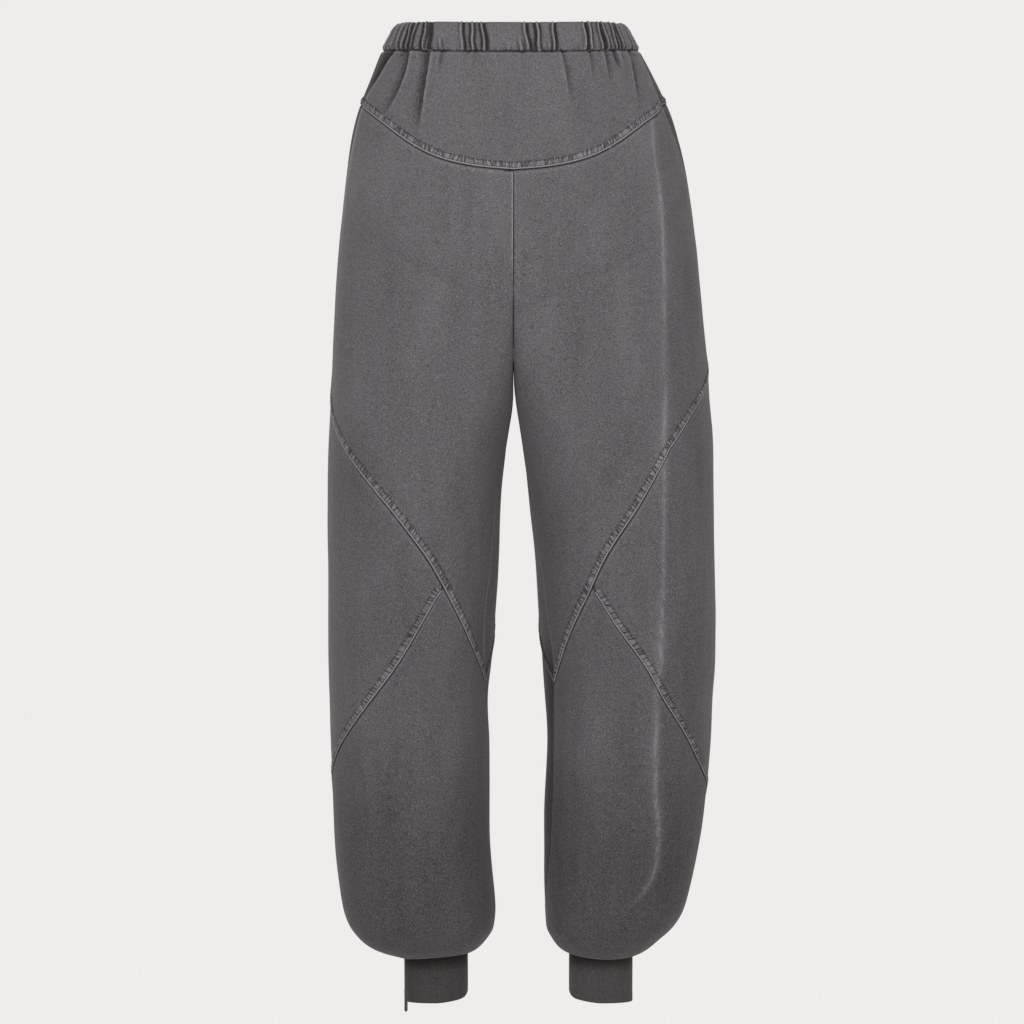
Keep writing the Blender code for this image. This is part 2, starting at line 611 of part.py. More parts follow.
def band_across(side, face, x, down):
    """How far across a quarter of the band the point lies that is x from the centre plane."""
    line = np.linspace(0, 1, 401)
    points = base_points(side, face, line, np.full(line.shape, float(down)), to_widest=True)
    reach = np.maximum.accumulate(np.abs(points[:, 0]))
    return float(np.interp(x, reach, line))


def band_column(side, face, top_place, foot_place, lift, reach):
    """One upright line of the band: outer points with a rounded top edge, and inner points."""
    steps = np.linspace(0, 1, BAND_ROWS + 1)
    place = top_place + (foot_place - top_place) * steps
    top = waist_level(WAIST_TOP, side, face, place, to_widest=True)
    foot = waist_level(WAIST_FOOT, side, face, place, to_widest=True) - SEAM_GAP / 2
    down = top + (foot - top) * steps
    points = base_points(side, face, place, down, to_widest=True)
    flat = normals(side, face, place, down, to_widest=True)
    rises = ease((steps - (1 - reach)) / GATHER_FADE + (1 if reach >= 1 else 0))
    tuck = (BAND_FOOT_TUCK["depth"] * ease(1 - (1 - steps) / BAND_FOOT_TUCK["part"])
            + BAND_TOP_TUCK["depth"] * ease(1 - steps / BAND_TOP_TUCK["part"]))
    foot_loss = GATHER_FOOT_LOSS * ease(1 - (1 - steps) / GATHER_FADE)
    raised = lift * rises * (1 - foot_loss) - tuck
    outer = points + flat * raised[:, None]
    inner = points - flat * BAND_THICKNESS
    if lift > 0:
        outer[0, 2] += GATHER_CREST_LIFT * min(reach, 1)
    return outer, inner


def build_yoke(name, face, legs, material):
    """A yoke that runs from side seam to side seam over the centre."""
    halves = []
    for side in ("right", "left"):
        leg = legs[side]
        coarse = leg.front if face == "front" else leg.back
        seam = leg.yoke if face == "front" else leg.back_yoke
        columns = finer(coarse)
        foot = finer(seam)
        top = waist_level(WAIST_FOOT, side, face, columns)
        down, relief = banded_rows(side, face, columns, top, foot, YOKE_ROWS)
        folds = FRONT_FOLDS if face == "front" else BACK_FOLDS
        outer, inner = panel_grids(side, face, columns, down, relief, folds, inner_gap=0.0)
        if side == "right":
            outer, inner = outer[:, ::-1], inner[:, ::-1]
            outer, inner = outer[:, :-1], inner[:, :-1]
        halves.append((outer, inner))
    return wall(name, np.concatenate([h[0] for h in halves], 1),
                np.concatenate([h[1] for h in halves], 1), material)


def build_thigh(leg, face, material):
    side = leg.side
    if face == "front":
        columns, top, foot = leg.front, leg.yoke, leg.knee
    else:
        columns, top, foot = leg.back, leg.back_yoke, leg.back_knee
    down, relief = banded_rows(side, face, columns, top, foot, levels=THIGH_LEVELS)
    outer, inner = panel_grids(side, face, columns, down, relief)
    return wall(side + "_" + face + "_thigh", outer, inner, material)


def build_knee_side(leg, material):
    """The wedge between the knee seam and the calf seam, with a blunt tip at their junction."""
    side = leg.side
    columns = leg.front[leg.outside].copy()
    top, foot = leg.knee[leg.outside], leg.calf[leg.outside]
    columns[0] += WEDGE_TIP_OFFSET
    down, relief = banded_rows(side, "front", columns, top, foot, WEDGE_ROWS)
    outer, inner = panel_grids(side, "front", columns, down, relief)
    return wall(side + "_knee_side", outer, inner, material)


def build_shin(leg, face, material):
    """A shin, from the knee down to the hem, which turns in to the cuff."""
    side = leg.side
    columns, top = (leg.front, leg.calf) if face == "front" else (leg.back, leg.back_knee)
    down, relief = shin_rows(side, face, columns, top, np.linspace(0, 1, SHIN_ROWS))
    outer, inner = panel_grids(side, face, columns, down, relief)
    away = -1 if side == "right" else 1
    turn = np.arctan2(outer[-1, :, 1] - CUFF_LEVEL, away * (outer[-1, :, 0] - CUFF_CENTRE[side]))
    x, y = cuff_ring(side, turn, HEM_CLEARANCE)
    under = np.stack([x, y, np.full(len(x), -HEM_TURN)], -1)
    above = under + (0, 0, CLOTH_THICKNESS)
    outer = np.concatenate([outer, under[None]])
    inner = np.concatenate([inner, above[None]])
    return wall(side + "_" + face + "_shin", outer, inner, material)


def zip_frame(side):
    """The zip's place on the cuff: a point, the way out and the way along the ring, flat."""
    turn = math.radians(ZIP_TURN[side])
    here = np.array(cuff_ring(side, turn))
    step = np.array(cuff_ring(side, turn + 0.01)) - np.array(cuff_ring(side, turn - 0.01))
    along = step / np.linalg.norm(step)
    out = np.array((along[1], -along[0]))
    if out @ (here - (CUFF_CENTRE[side], CUFF_LEVEL)) < 0:
        out = -out
    return here, out, along


def build_cuff(side, material):
    """An open tube with a slit for the zip."""
    half_slit = (ZIP_TAPE_WIDTH / 2 + SEAM_GAP) / CUFF_HALF_WIDTH
    start = math.radians(ZIP_TURN[side]) + half_slit
    turns = np.linspace(start, start + 2 * math.pi - 2 * half_slit, CUFF_SEGMENTS + 1)
    steps = np.linspace(0, 1, CUFF_ROWS + 1)[:, None]
    down = CUFF_TOP + (cuff_foot(turns) - CUFF_TOP) * steps
    grids = []
    for proud in (0.0, -CUFF_THICKNESS):
        x, y = cuff_ring(side, turns, proud)
        grids.append(np.stack([np.broadcast_to(x, down.shape), np.broadcast_to(y, down.shape),
                               -down], -1))
    return wall(side + "_cuff", grids[0], grids[1], material)


def slider_centre(side):
    foot = float(cuff_foot(math.radians(ZIP_TURN[side])))
    return foot - SLIDER_SIZE["height"] / 2 - SLIDER_SIZE["above_foot"] - SLIDER_RAISED[side]


def build_zip(side, material):
    """The tape, with the closed coil as a ridge along its middle, ending at the slider."""
    here, out, along = zip_frame(side)
    half, coil = ZIP_TAPE_WIDTH / 2, ZIP_COIL_WIDTH / 2
    flank = coil + ZIP_COIL_FLANK
    places = np.array((-half, -flank, -coil, -coil / 2, coil / 2, coil, flank, half))
    lift = np.array((0, 0, 0.7, 1, 1, 0.7, 0, 0)) * ZIP_COIL_HEIGHT
    stop = slider_centre(side) - SLIDER_SIZE["height"] / 2 - SEAM_GAP
    foot = float(cuff_foot(math.radians(ZIP_TURN[side])))
    rows = ((CUFF_TOP, 0), (ZIP_COIL_TOP, 0), (ZIP_COIL_TOP + ZIP_COIL_SLOPE, 1),
            (stop - ZIP_COIL_SLOPE, 1), (stop, 0), (foot, 0))
    outer = np.zeros((len(rows), len(places), 3))
    inner = outer.copy()
    for r, (down, coiled) in enumerate(rows):
        for c, place in enumerate(places):
            flat = here + along * place
            outer[r, c] = (*(flat + out * (lift[c] * coiled - ZIP_INSET)), -down)
            inner[r, c] = (*(flat - out * (ZIP_INSET + ZIP_TAPE_THICKNESS)), -down)
    return wall(side + "_zip", outer, inner, material)


def prism(outline, low, high, place):
    """A closed solid from an outline in (along, up), between two distances out from the tape."""
    here, out, along, centre = place
    verts = []
    for distance in (low, high):
        for a, up in outline:
            verts.append((*(here + along * a + out * distance), -centre + up))
    count = len(outline)
    faces = [tuple(range(count)), tuple(range(2 * count - 1, count - 1, -1))]
    faces += [(k, (k + 1) % count, count + (k + 1) % count, count + k) for k in range(count)]
    return verts, faces


def box(half, top, foot):
    return (-half, top), (half, top), (half, foot), (-half, foot)


def rounded_box(width, top, foot, corner):
    """An outline with its corners cut."""
    w = width / 2
    return ((-w + corner, top), (w - corner, top), (w, top - corner), (w, foot + corner),
            (w - corner, foot), (-w + corner, foot), (-w, foot + corner), (-w, top - corner))


def joined(name, solids, material):
    """One solid from several that meet, by Boolean union."""
    objects = [new_object(name if k == 0 else name + "_tool", verts, faces, material)
               for k, (verts, faces) in enumerate(solids)]
    body = objects[0]
    for tool in objects[1:]:
        union = body.modifiers.new("union", "BOOLEAN")
        union.operation = "UNION"
        union.object = tool
    depsgraph = bpy.context.evaluated_depsgraph_get()
    mesh = bpy.data.meshes.new_from_object(body.evaluated_get(depsgraph))
    body.modifiers.clear()
    body.data = mesh
    for tool in objects[1:]:
        bpy.data.objects.remove(tool, do_unlink=True)
    return body


def build_slider(side, material):
    """The slider's plate with a bridge that the pull tab hangs on."""
    here, out, along = zip_frame(side)
    place = (here, out, along, slider_centre(side))
    half = SLIDER_SIZE["height"] / 2
    base = SEAM_GAP - ZIP_INSET
    face = base + SLIDER_SIZE["depth"]
    plate = prism(rounded_box(SLIDER_SIZE["width"], half, -half, SLIDER_SIZE["corner"]), base, face,
                  place)
    top, foot, post, w = BRIDGE["top"], BRIDGE["foot"], BRIDGE["post"], BRIDGE["width"] / 2
    clear = face + BRIDGE["clear"]
    crown = clear + BRIDGE["bar"]
    root = face - BRIDGE["root"]
    upper = prism(box(w, top, top - post), root, crown, place)
    lower = prism(box(w, foot + post, foot), root, crown, place)
    bar = prism(box(w - BRIDGE["inset"], top - BRIDGE["lap"], foot + BRIDGE["lap"]), clear,
                crown - BRIDGE["inset"], place)
    return joined(side + "_zip_slider", (plate, upper, lower, bar), material)


def pivot(side):
    """The hinge of the pull tab, in millimetres."""
    here, out, along = zip_frame(side)
    distance = SEAM_GAP - ZIP_INSET + SLIDER_SIZE["depth"] + BRIDGE["clear"] / 2
    flat = here + out * distance
    return np.array((flat[0], flat[1], -slider_centre(side) + PIVOT_ABOVE_SLIDER)), out, along


def build_pull(side, material):
    """A flat tab with an eye at its top, hanging from the slider's bridge."""
    centre, out, along = pivot(side)
    place = (centre[:2], out, along, -centre[2])
    t, w = PULL_THICKNESS / 2, PULL_WIDTH / 2
    eye = w - PULL_ARM_WIDTH
    foot = -PULL_LENGTH
    bar_top, bar_foot, plate_top = PULL_BAR_HEIGHT / 2, -PULL_BAR_HEIGHT / 2, -PULL_PLATE_START
    corner = PULL_CORNER
    front = ((-w, bar_top), (w, bar_top), (w, plate_top), (w, foot + corner), (w - corner, foot),
             (-w + corner, foot), (-w, foot + corner), (-w, plate_top))
    hole = ((-eye, bar_foot), (eye, bar_foot), (eye, plate_top), (-eye, plate_top))
    verts = []
    for distance in (-t, t):
        for a, up in front + hole:
            verts.append((*(centre[:2] + along * a + out * distance), centre[2] + up))
    # Faces of one side: the bar, the two arms and the plate round the eye.
    side_faces = ((0, 1, 9, 8), (1, 2, 10, 9), (2, 7, 11, 10), (7, 0, 8, 11), (2, 3, 6, 7),
                  (3, 4, 5, 6))
    count = len(front) + len(hole)
    faces = list(side_faces) + [tuple(count + v for v in reversed(f)) for f in side_faces]
    for loop in ((0, 1, 2, 3, 4, 5, 6, 7), (8, 9, 10, 11)):
        for k, a in enumerate(loop):
            b = loop[(k + 1) % len(loop)]
            faces.append((a, b, count + b, count + a))
    verts = [(v[0] - centre[0], v[1] - centre[1], v[2] - centre[2]) for v in verts]
    tab = new_object(side + "_zip_pull", verts, faces, material)
    tab.location = tuple(centre * MM)
    return tab


def build():
    for obj in list(bpy.data.objects):
        bpy.data.objects.remove(obj, do_unlink=True)
    cloth = new_material("washed_fleece", CLOTH_COLOUR, 0.92)
    knit = new_material("cuff_knit", CUFF_COLOUR, 0.95)
    tape = new_material("zip_tape", TAPE_COLOUR, 0.85)
    metal = new_material("zip_metal", METAL_COLOUR, 0.45, 0.9)
    legs = {side: Leg(side) for side in ("right", "left")}
    build_waistband(cloth)
    build_yoke("yoke_front", "front", legs, cloth)
    build_yoke("yoke_back", "back", legs, cloth)
    for side, leg in legs.items():
        for face in ("front", "back"):
            build_thigh(leg, face, cloth)
            build_shin(leg, face, cloth)
        build_knee_side(leg, cloth)
        build_cuff(side, knit)
        build_zip(side, tape)
        build_slider(side, metal)
        build_pull(side, metal)


build()
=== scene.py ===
"""Washed charcoal barrel-leg sweatpants: fine cloth shells, sewing, zips, materials, light and camera.

Tables are in millimetres and follow the part's own sizes. "down" is the distance below the
waistband's middle, "across" runs over a front or a back from its inner edge (0) to the side (1).
"""
import math

import bpy
import numpy as np
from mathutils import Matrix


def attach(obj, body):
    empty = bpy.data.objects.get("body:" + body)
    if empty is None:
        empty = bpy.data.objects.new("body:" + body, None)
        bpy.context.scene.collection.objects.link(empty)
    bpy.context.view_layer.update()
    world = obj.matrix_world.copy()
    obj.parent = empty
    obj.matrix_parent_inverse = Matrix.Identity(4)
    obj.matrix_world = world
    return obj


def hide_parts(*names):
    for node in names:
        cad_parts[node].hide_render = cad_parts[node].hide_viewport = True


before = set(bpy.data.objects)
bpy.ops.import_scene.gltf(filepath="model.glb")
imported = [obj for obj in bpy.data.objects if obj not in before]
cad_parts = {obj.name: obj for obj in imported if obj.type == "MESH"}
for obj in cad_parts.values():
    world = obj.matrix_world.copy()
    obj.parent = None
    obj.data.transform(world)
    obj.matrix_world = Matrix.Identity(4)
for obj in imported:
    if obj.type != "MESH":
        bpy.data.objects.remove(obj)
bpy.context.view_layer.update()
BODY = "garment"
SIDES = ("right", "left")
FACES = ("front", "back")
MM = 0.001

# ---------------------------------------------------------------- the part's own form
SEAM_GAP = 0.3
CLOTH_THICKNESS = 1.6
SECTION_COLUMNS = ("down", "right_outer", "left_outer", "right_inner", "left_inner",
                   "front", "back", "level", "right_hip_seam", "left_hip_seam",
                   "right_inseam", "left_inseam")
SECTIONS = (
    (-16, 119, 113, 0, 0, 87, 92, 0, 32, 22, 0, 0),
    (-7, 124, 118, 0, 0, 89, 94, 0, 33, 22, 0, 0),
    (3, 129, 123, 0, 0, 91, 96, 0, 33.5, 22, 0, 0),
    (15, 136, 130, 0, 0, 93, 98, 0, 34, 26, 0, 0),
    (45, 148, 146, 0, 0, 101, 107, 0, 34, 40.5, 0, 0),
    (85, 163, 164, 0, 0, 107, 117, 0, 34, 45, 0, 0),
    (130, 172, 176, 0, 0, 112, 126, 0, 32, 30.5, 0, 0),
    (190, 178, 186, 0, 0, 115, 132, 0, 21, 15, 0, 0),
    (255, 184, 193, 0.3, 0.3, 116, 131, 0, 2, 0, 0, 0),
    (312, 187, 199, 0.4, 0.4, 114, 126, 0, -6, -6, 0, 0),
    (340, 188, 202, 0.5, 0.5, 113, 122, 0, -7, -7, 7, 5),
    (366, 189.3, 203.4, 0.5, 0.9, 111.6, 118.4, 0, -7.8, -7.8, 14.5, 9.8),
    (378, 190, 204, 0.5, 2.2, 111, 117, 0, -8, -8, 18, 12),
    (420, 192, 207, 7, 9, 109, 111, 0.3, -8, -8, 28, 18),
    (480, 193, 208, 13, 16, 106, 104, 0.8, -8, -8, 41, 27),
    (545, 193, 209, 15, 23, 103, 100, 1.4, -8, -8, 53, 41),
    (600, 193, 210, 19, 26, 101, 99, 1.9, -8, -8, 57, 52),
    (650, 192, 210, 23, 30, 98, 99, 2.4, -8, -8, 48, 58),
    (690, 191, 207, 27, 33, 95, 98, 2.8, -8, -8, 26, 51),
    (730, 190, 205, 25, 35, 92, 97, 3.1, -8, -8, 9, 46),
    (815, 187, 197, 25, 32, 86, 94, 3.6, -8, -8, 2, 43),
    (870, 183, 187, 22, 32, 80, 89, 3.9, -8, -8, 0, 29),
    (905, 178, 178, 19, 33, 74, 83, 4, -6, -6, 0, 8),
    (925, 171, 167, 21, 34, 68, 77, 4, -4, -4, 0, 0),
    (940, 159, 151, 29, 41, 59, 68, 4, -2, -2, 0, 0),
    (950, 145, 138, 41, 51, 49, 58, 4, 0, 0, 0, 0),
    (957, 126, 130, 44, 54, 38, 47, 4, 0, 0, 0, 0),
    (960, 119, 128.5, 44, 54, 34, 43, 4, 0, 0, 0, 0),
)
RING_SAMPLES = 90
WALL_SAMPLES = 20
WALL_SHARE = 0.15
WALL_LEAST = 2.0
WALL_FADE_TOP = 90.0
WALL_RETURN = 440.0
WALL_RETURN_LENGTH = 150.0
HIP_ROUNDING = 2.5
LEG_ROUNDING = 2.25
CREASE_TOP = 262
CREASE_END = 500
BACK_RISE_TOP = 235
CROTCH = 312
WAIST_TOP = {"front": -5.4, "side": -12.5, "back": -16.0}
WAIST_FOOT = {"front": 24.0, "side": 16.0, "back": 13.0}
YOKE_SEAM = {
    "inner": 147, "side": 76,
    "points": ((27, 145), (53, 141), (78, 134), (98, 124), (118, 110), (136, 95), (151, 82)),
}
KNEE_SEAM = {
    "right": {"inner": 671, "side": 352,
              "points": ((46, 626), (58, 597), (72, 571), (91, 538), (107, 518), (123, 496),
                         (143, 473), (162, 448), (176, 428), (187, 397))},
    "left": {"inner": 671, "side": 334,
             "points": ((49, 645), (58, 621), (68, 597), (80, 572), (92, 545), (110, 517),
                        (127, 493), (144, 463), (154, 444), (168, 417), (185, 390), (200, 362))},
}
CALF_SEAM = {
    "right": {"side": 792, "start": (72, 574),
              "points": ((86, 599), (104, 629), (118, 653), (137, 677), (156, 703), (173, 727),
                         (184, 750))},
    "left": {"side": 792, "start": (81, 575),
             "points": ((95, 602), (113, 624), (130, 647), (142, 667), (155, 692), (173, 718),
                        (188, 749))},
}
BACK_YOKE_SEAM = ((0, 118), (0.25, 113), (0.5, 99), (0.7, 81), (0.86, 71), (1, 75.5))
BACK_KNEE_SEAM = ((0, 671), (0.17, 622), (0.35, 560), (0.55, 487), (0.75, 420), (0.9, 372), (1, 343))
RIDGE_PATH = ((60, 136), (91, 141), (131, 144), (159, 148), (202, 152), (340, 154), (517, 153),
              (638, 150), (692, 146), (779, 145), (817, 148), (846, 147), (872, 141), (894, 125),
              (910, 108))
CUFF_CENTRE = {"right": -80.5, "left": 90.8}
CUFF_LEVEL = 4.0
CUFF_HALF_WIDTH = 33.4
CUFF_HALF_DEPTH = 32.6
CUFF_ROUNDING = 2.2
CUFF_TOP = 946.0
CUFF_FOOT = 1003.4
CUFF_INNER_RISE = 10.0
HEM_CLEARANCE = 0.9
HEM_END = 958.5
ZIP_TURN = {"right": 30.0, "left": 42.0}
ZIP_TAPE_WIDTH = 9.0
SECTION_SMOOTHING = 9.0
SEAM_SMOOTHING = 0.045
NORMAL_REACH = 0.02
NORMAL_ROWS = 3


def smooth_curve(places, values):
    """A curve through (place, value) knots that never overshoots them."""
    places, values = np.asarray(places, float), np.asarray(values, float)
    step = np.diff(places)
    slope = np.diff(values) / step
    tangent = np.zeros_like(values)
    tangent[0], tangent[-1] = slope[0], slope[-1]
    for k in range(1, len(places) - 1):
        if slope[k - 1] * slope[k] > 0:
            before, after = 2 * step[k] + step[k - 1], step[k] + 2 * step[k - 1]
            tangent[k] = (before + after) / (before / slope[k - 1] + after / slope[k])

    def value_at(place):
        place = np.clip(np.asarray(place, float), places[0], places[-1])
        k = np.clip(np.searchsorted(places, place, side="right") - 1, 0, len(places) - 2)
        h = step[k]
        t = (place - places[k]) / h
        return ((1 + 2 * t) * (1 - t) ** 2 * values[k] + t * (1 - t) ** 2 * h * tangent[k]
                + t * t * (3 - 2 * t) * values[k + 1] + t * t * (t - 1) * h * tangent[k + 1])
    return value_at


def ease(t):
    """Runs smoothly from 0 to 1 as t does."""
    t = np.clip(t, 0, 1)
    return t * t * (3 - 2 * t)


def fade(t):
    """Runs smoothly from 1 to 0 as t goes from 0 to 1."""
    return 1 - ease(t)


def bell(offset, width):
    """A rounded hump that is 1 where the offset is 0."""
    return np.exp(-(offset / width) ** 2)


def unit(vectors):
    """The same vectors at length one."""
    return vectors / np.maximum(np.linalg.norm(vectors, axis=-1, keepdims=True), 1e-9)


def run_along(points, axis=0):
    """The length of a line of points from its start to each of them."""
    steps = np.cumsum(np.linalg.norm(np.diff(points, axis=axis), axis=-1), axis)
    return np.concatenate([np.zeros_like(np.take(steps, [0], axis)), steps], axis)


def softened(curve, low, high, reach, step):
    """The same curve with the small kinks between its knots smoothed out."""
    line = np.arange(low, high + step / 2, step)
    values = curve(line)
    spread = np.arange(-round(2.5 * reach / step), round(2.5 * reach / step) + 1)
    weight = np.exp(-(spread * step / reach) ** 2 / 2)
    padded = np.pad(values, len(spread) // 2, mode="reflect", reflect_type="odd")
    smooth = np.convolve(padded, weight / weight.sum(), "valid")
    return lambda place: np.interp(place, line, smooth)


def section_curve(k):
    """One column of the sections, smoothed except at the waist and in the turn of the hem."""
    plain = smooth_curve([row[0] for row in SECTIONS], [row[k] for row in SECTIONS])
    smooth = softened(plain, SECTIONS[0][0], SECTIONS[-1][0], SECTION_SMOOTHING, 1.0)

    def value_at(down):
        keep = np.clip(1 - ease((down - 20) / 40) + ease((down - 880) / 40), 0, 1)
        return plain(down) * keep + smooth(down) * (1 - keep)
    return value_at


SECTION = {name: section_curve(k) for k, name in enumerate(SECTION_COLUMNS) if k}


def half_rings(side, down):
    """One leg's ring at each level, from the centre front round the side to the centre back."""
    down = np.asarray(down, float)[:, None]
    outer, inner = SECTION[side + "_outer"](down), SECTION[side + "_inner"](down)
    front, back, level = (SECTION[name](down) for name in ("front", "back", "level"))
    parted = ease((down - CREASE_TOP) / (CREASE_END - CREASE_TOP))
    middle, half = (outer + inner) / 2, (outer - inner) / 2
    sweep = -np.cos(math.pi * np.linspace(0, 1, RING_SAMPLES))[None, :]
    x = middle + half * sweep
    leg = np.maximum(1 - np.abs(sweep) ** LEG_ROUNDING, 0) ** (1 / LEG_ROUNDING)
    hip = np.maximum(1 - np.minimum(x / outer, 1) ** HIP_ROUNDING, 0) ** (1 / HIP_ROUNDING)
    fullness = (1 - parted) * hip + parted * leg

    def rise(top):
        turn = np.clip((down - top) / (CROTCH - top), 0, 1)
        return np.minimum(np.sqrt(1 - turn * turn), 1 - parted)

    along_wall = np.linspace(0, 1, WALL_SAMPLES)[None, :-1]
    front_wall = rise(CREASE_TOP) * (1 - along_wall) + (1 - parted) * along_wall
    back_wall = rise(BACK_RISE_TOP) * (1 - along_wall) + (1 - parted) * along_wall
    wall_x = np.broadcast_to(inner, front_wall.shape)
    xs = np.concatenate([wall_x, x, x[:, -2::-1], wall_x[:, ::-1]], 1)
    ys = np.concatenate([level - (front + level) * front_wall, level - (front + level) * fullness,
                         (level + (back - level) * fullness)[:, -2::-1],
                         (level + (back - level) * back_wall)[:, ::-1]], 1)
    run = np.concatenate([np.zeros((len(xs), 1)),
                          np.cumsum(np.hypot(np.diff(xs, axis=1), np.diff(ys, axis=1)), 1)], 1)
    return xs, ys, run, run[:, WALL_SAMPLES + RING_SAMPLES - 2]


class Surface:
    """The plain surface of a front or a back, tabled over across and down, with its normals."""

    levels = np.arange(-30, 968, 1.5)
    places = np.concatenate([np.linspace(0, WALL_SHARE, 60, endpoint=False),
                             np.linspace(WALL_SHARE, 1, 260)])

    def __init__(self, side, face, gap=SEAM_GAP / 2, to_widest=False):
        self.side, self.face = side, face
        down = np.clip(self.levels, SECTIONS[0][0], SECTIONS[-1][0])
        xs, ys, run, widest = half_rings(side, down)
        seam = widest - (0 if to_widest else SECTION[side + "_hip_seam"](down))
        inseam = SECTION[side + "_inseam"](down)
        total = run[:, -1]
        if face == "front":
            wall_length, length = run[:, WALL_SAMPLES - 1] - inseam, seam - inseam
        else:
            wall_length = total - run[:, -WALL_SAMPLES] + inseam
            length = total + inseam - seam
        share = WALL_SHARE * (ease((CREASE_TOP - down) / WALL_FADE_TOP)
                              + ease((down - WALL_RETURN) / WALL_RETURN_LENGTH))
        wall_part = (np.maximum(wall_length, share * length + WALL_LEAST) / length)[:, None]
        across = self.places[None, :]
        spread = np.where(across < WALL_SHARE, across / WALL_SHARE * wall_part,
                          wall_part + (across - WALL_SHARE) / (1 - WALL_SHARE) * (1 - wall_part))
        reach = gap + spread * (length[:, None] - gap - SEAM_GAP / 2)
        place = inseam[:, None] + (reach if face == "front" else total[:, None] - reach)
        place = np.where(place > total[:, None], place - total[:, None], place)
        points = np.zeros((len(down), across.shape[1], 3))
        for row in range(len(down)):
            points[row, :, 0] = np.interp(place[row], run[row], xs[row])
            points[row, :, 1] = np.interp(place[row], run[row], ys[row])
        points[..., 2] = -self.levels[:, None]
        if side == "right":
            points[..., 0] *= -1
        self.points = points
        self.length = length
        self.normals = self.table_normals()

    def table_normals(self):
        """Outward directions over a short step, so that the inside stays smooth in a crease."""
        grid = self.points
        right = self.columns_at(np.clip(self.places + NORMAL_REACH, 0, 1))
        left = self.columns_at(np.clip(self.places - NORMAL_REACH, 0, 1))
        along = grid_columns(grid, right) - grid_columns(grid, left)
        rows = np.arange(len(grid))
        above = grid[np.clip(rows - NORMAL_ROWS, 0, len(grid) - 1)]
        below = grid[np.clip(rows + NORMAL_ROWS, 0, len(grid) - 1)]
        direction = np.cross(along, above - below)
        if (self.side == "left") != (self.face == "front"):
            direction = -direction
        return unit(direction)

    def columns_at(self, across):
        return np.interp(across, self.places, np.arange(len(self.places)))

    def at(self, across, down):
        """Points and normals at places given by across and down."""
        across, down = np.broadcast_arrays(np.asarray(across, float), np.asarray(down, float))
        col = self.columns_at(np.clip(across, 0, 1))
        row = np.interp(down, self.levels, np.arange(len(self.levels)))
        c = np.clip(col.astype(int), 0, len(self.places) - 2)
        r = np.clip(row.astype(int), 0, len(self.levels) - 2)
        u, v = (col - c)[..., None], (row - r)[..., None]

        def mixed(table):
            return ((table[r, c] * (1 - u) + table[r, c + 1] * u) * (1 - v)
                    + (table[r + 1, c] * (1 - u) + table[r + 1, c + 1] * u) * v)
        return mixed(self.points), unit(mixed(self.normals))

    def across_of(self, x, down):
        """Where a level is a distance from the middle."""
        line = np.linspace(0, 1, 401)
        reach = np.abs(self.at(line, down)[0][:, 0])
        first, last = int(np.argmin(reach)), int(np.argmax(reach))
        return float(np.interp(x, reach[first:last + 1], line[first:last + 1]))


def grid_columns(grid, place):
    """Columns of a grid at fractional places."""
    c = np.clip(place.astype(int), 0, grid.shape[1] - 2)
    t = (place - c)[None, :, None]
    return grid[:, c] * (1 - t) + grid[:, c + 1] * t


def surfaces(*values):
    return {(side, face): Surface(side, face, *values) for side in SIDES for face in FACES}


SURFACE = surfaces()
YOKE_SURFACE = surfaces(0.0)
BAND_SURFACE = surfaces(0.0, True)


def front_seam(side, table, start=None):
    """The level of a front seam by across, through its table's distances and levels."""
    surface = SURFACE[side, "front"]
    knots = [(0.0, table["inner"])] if start is None else [(start, table["start"][1])]
    knots += [(surface.across_of(x, down), down) for x, down in table["points"]]
    knots.append((1.0, table["side"]))
    curve = smooth_curve([k[0] for k in knots], [k[1] for k in knots])
    return softened(curve, knots[0][0], 1.0, SEAM_SMOOTHING, 0.002)


JUNCTION = {side: SURFACE[side, "front"].across_of(*CALF_SEAM[side]["start"])
            for side in SIDES}
SEAM = {}
for side in SIDES:
    SEAM[side, "front_yoke"] = front_seam(side, YOKE_SEAM)
    SEAM[side, "front_knee"] = front_seam(side, KNEE_SEAM[side])
    SEAM[side, "calf"] = front_seam(side, CALF_SEAM[side], JUNCTION[side])
    SEAM[side, "back_yoke"] = smooth_curve(*zip(*BACK_YOKE_SEAM))
    SEAM[side, "back_knee"] = smooth_curve(*zip(*BACK_KNEE_SEAM))


def waist_level(table, surface, across):
    """The level of an edge of the waistband, which dips from the sides to the front and back."""
    ahead = surface.at(across, WAIST_FOOT["side"])[0][..., 1]
    front, back = (float(SECTION[name](WAIST_FOOT["side"])) for name in ("front", "back"))
    return table["side"] + np.where(ahead < 0, (table["front"] - table["side"]) * (ahead / front) ** 2,
                                    (table["back"] - table["side"]) * (ahead / back) ** 2)


# ---------------------------------------------------------------- folds and creases
# Folds that fall from the waistband: a valley beside a raised crest. side is where the valley lies.
FOLD_COLUMNS = ("x_top", "x_foot", "down_foot", "depth", "half_width", "side", "bend")
FRONT_FOLDS = (
    (-121.5, -160, 80, 3.2, 6.0, -1, 1.0),
    (-108, -144, 100, 4.4, 8.0, -1, 2.0),
    (-86, -102, 126, 4.8, 10.0, -1, 1.1),
    (-73, -77, 50, 2.4, 3.5, 1, 1.0),
    (-40, -43, 60, 0.9, 5.0, 1, 1.0),
    (8, 9, 56, 0.8, 6.0, 1, 1.0),
    (47, 62, 92, 2.6, 5.5, 1, 0.7),
    (78, 84, 62, 1.6, 4.0, 1, 1.0),
    (93, 101, 62, 2.6, 4.5, 1, 0.8),
    (104, 112, 44, 4.2, 4.0, -1, 1.2),
    (119, 132, 92, 2.6, 4.0, 1, 0.8),
)
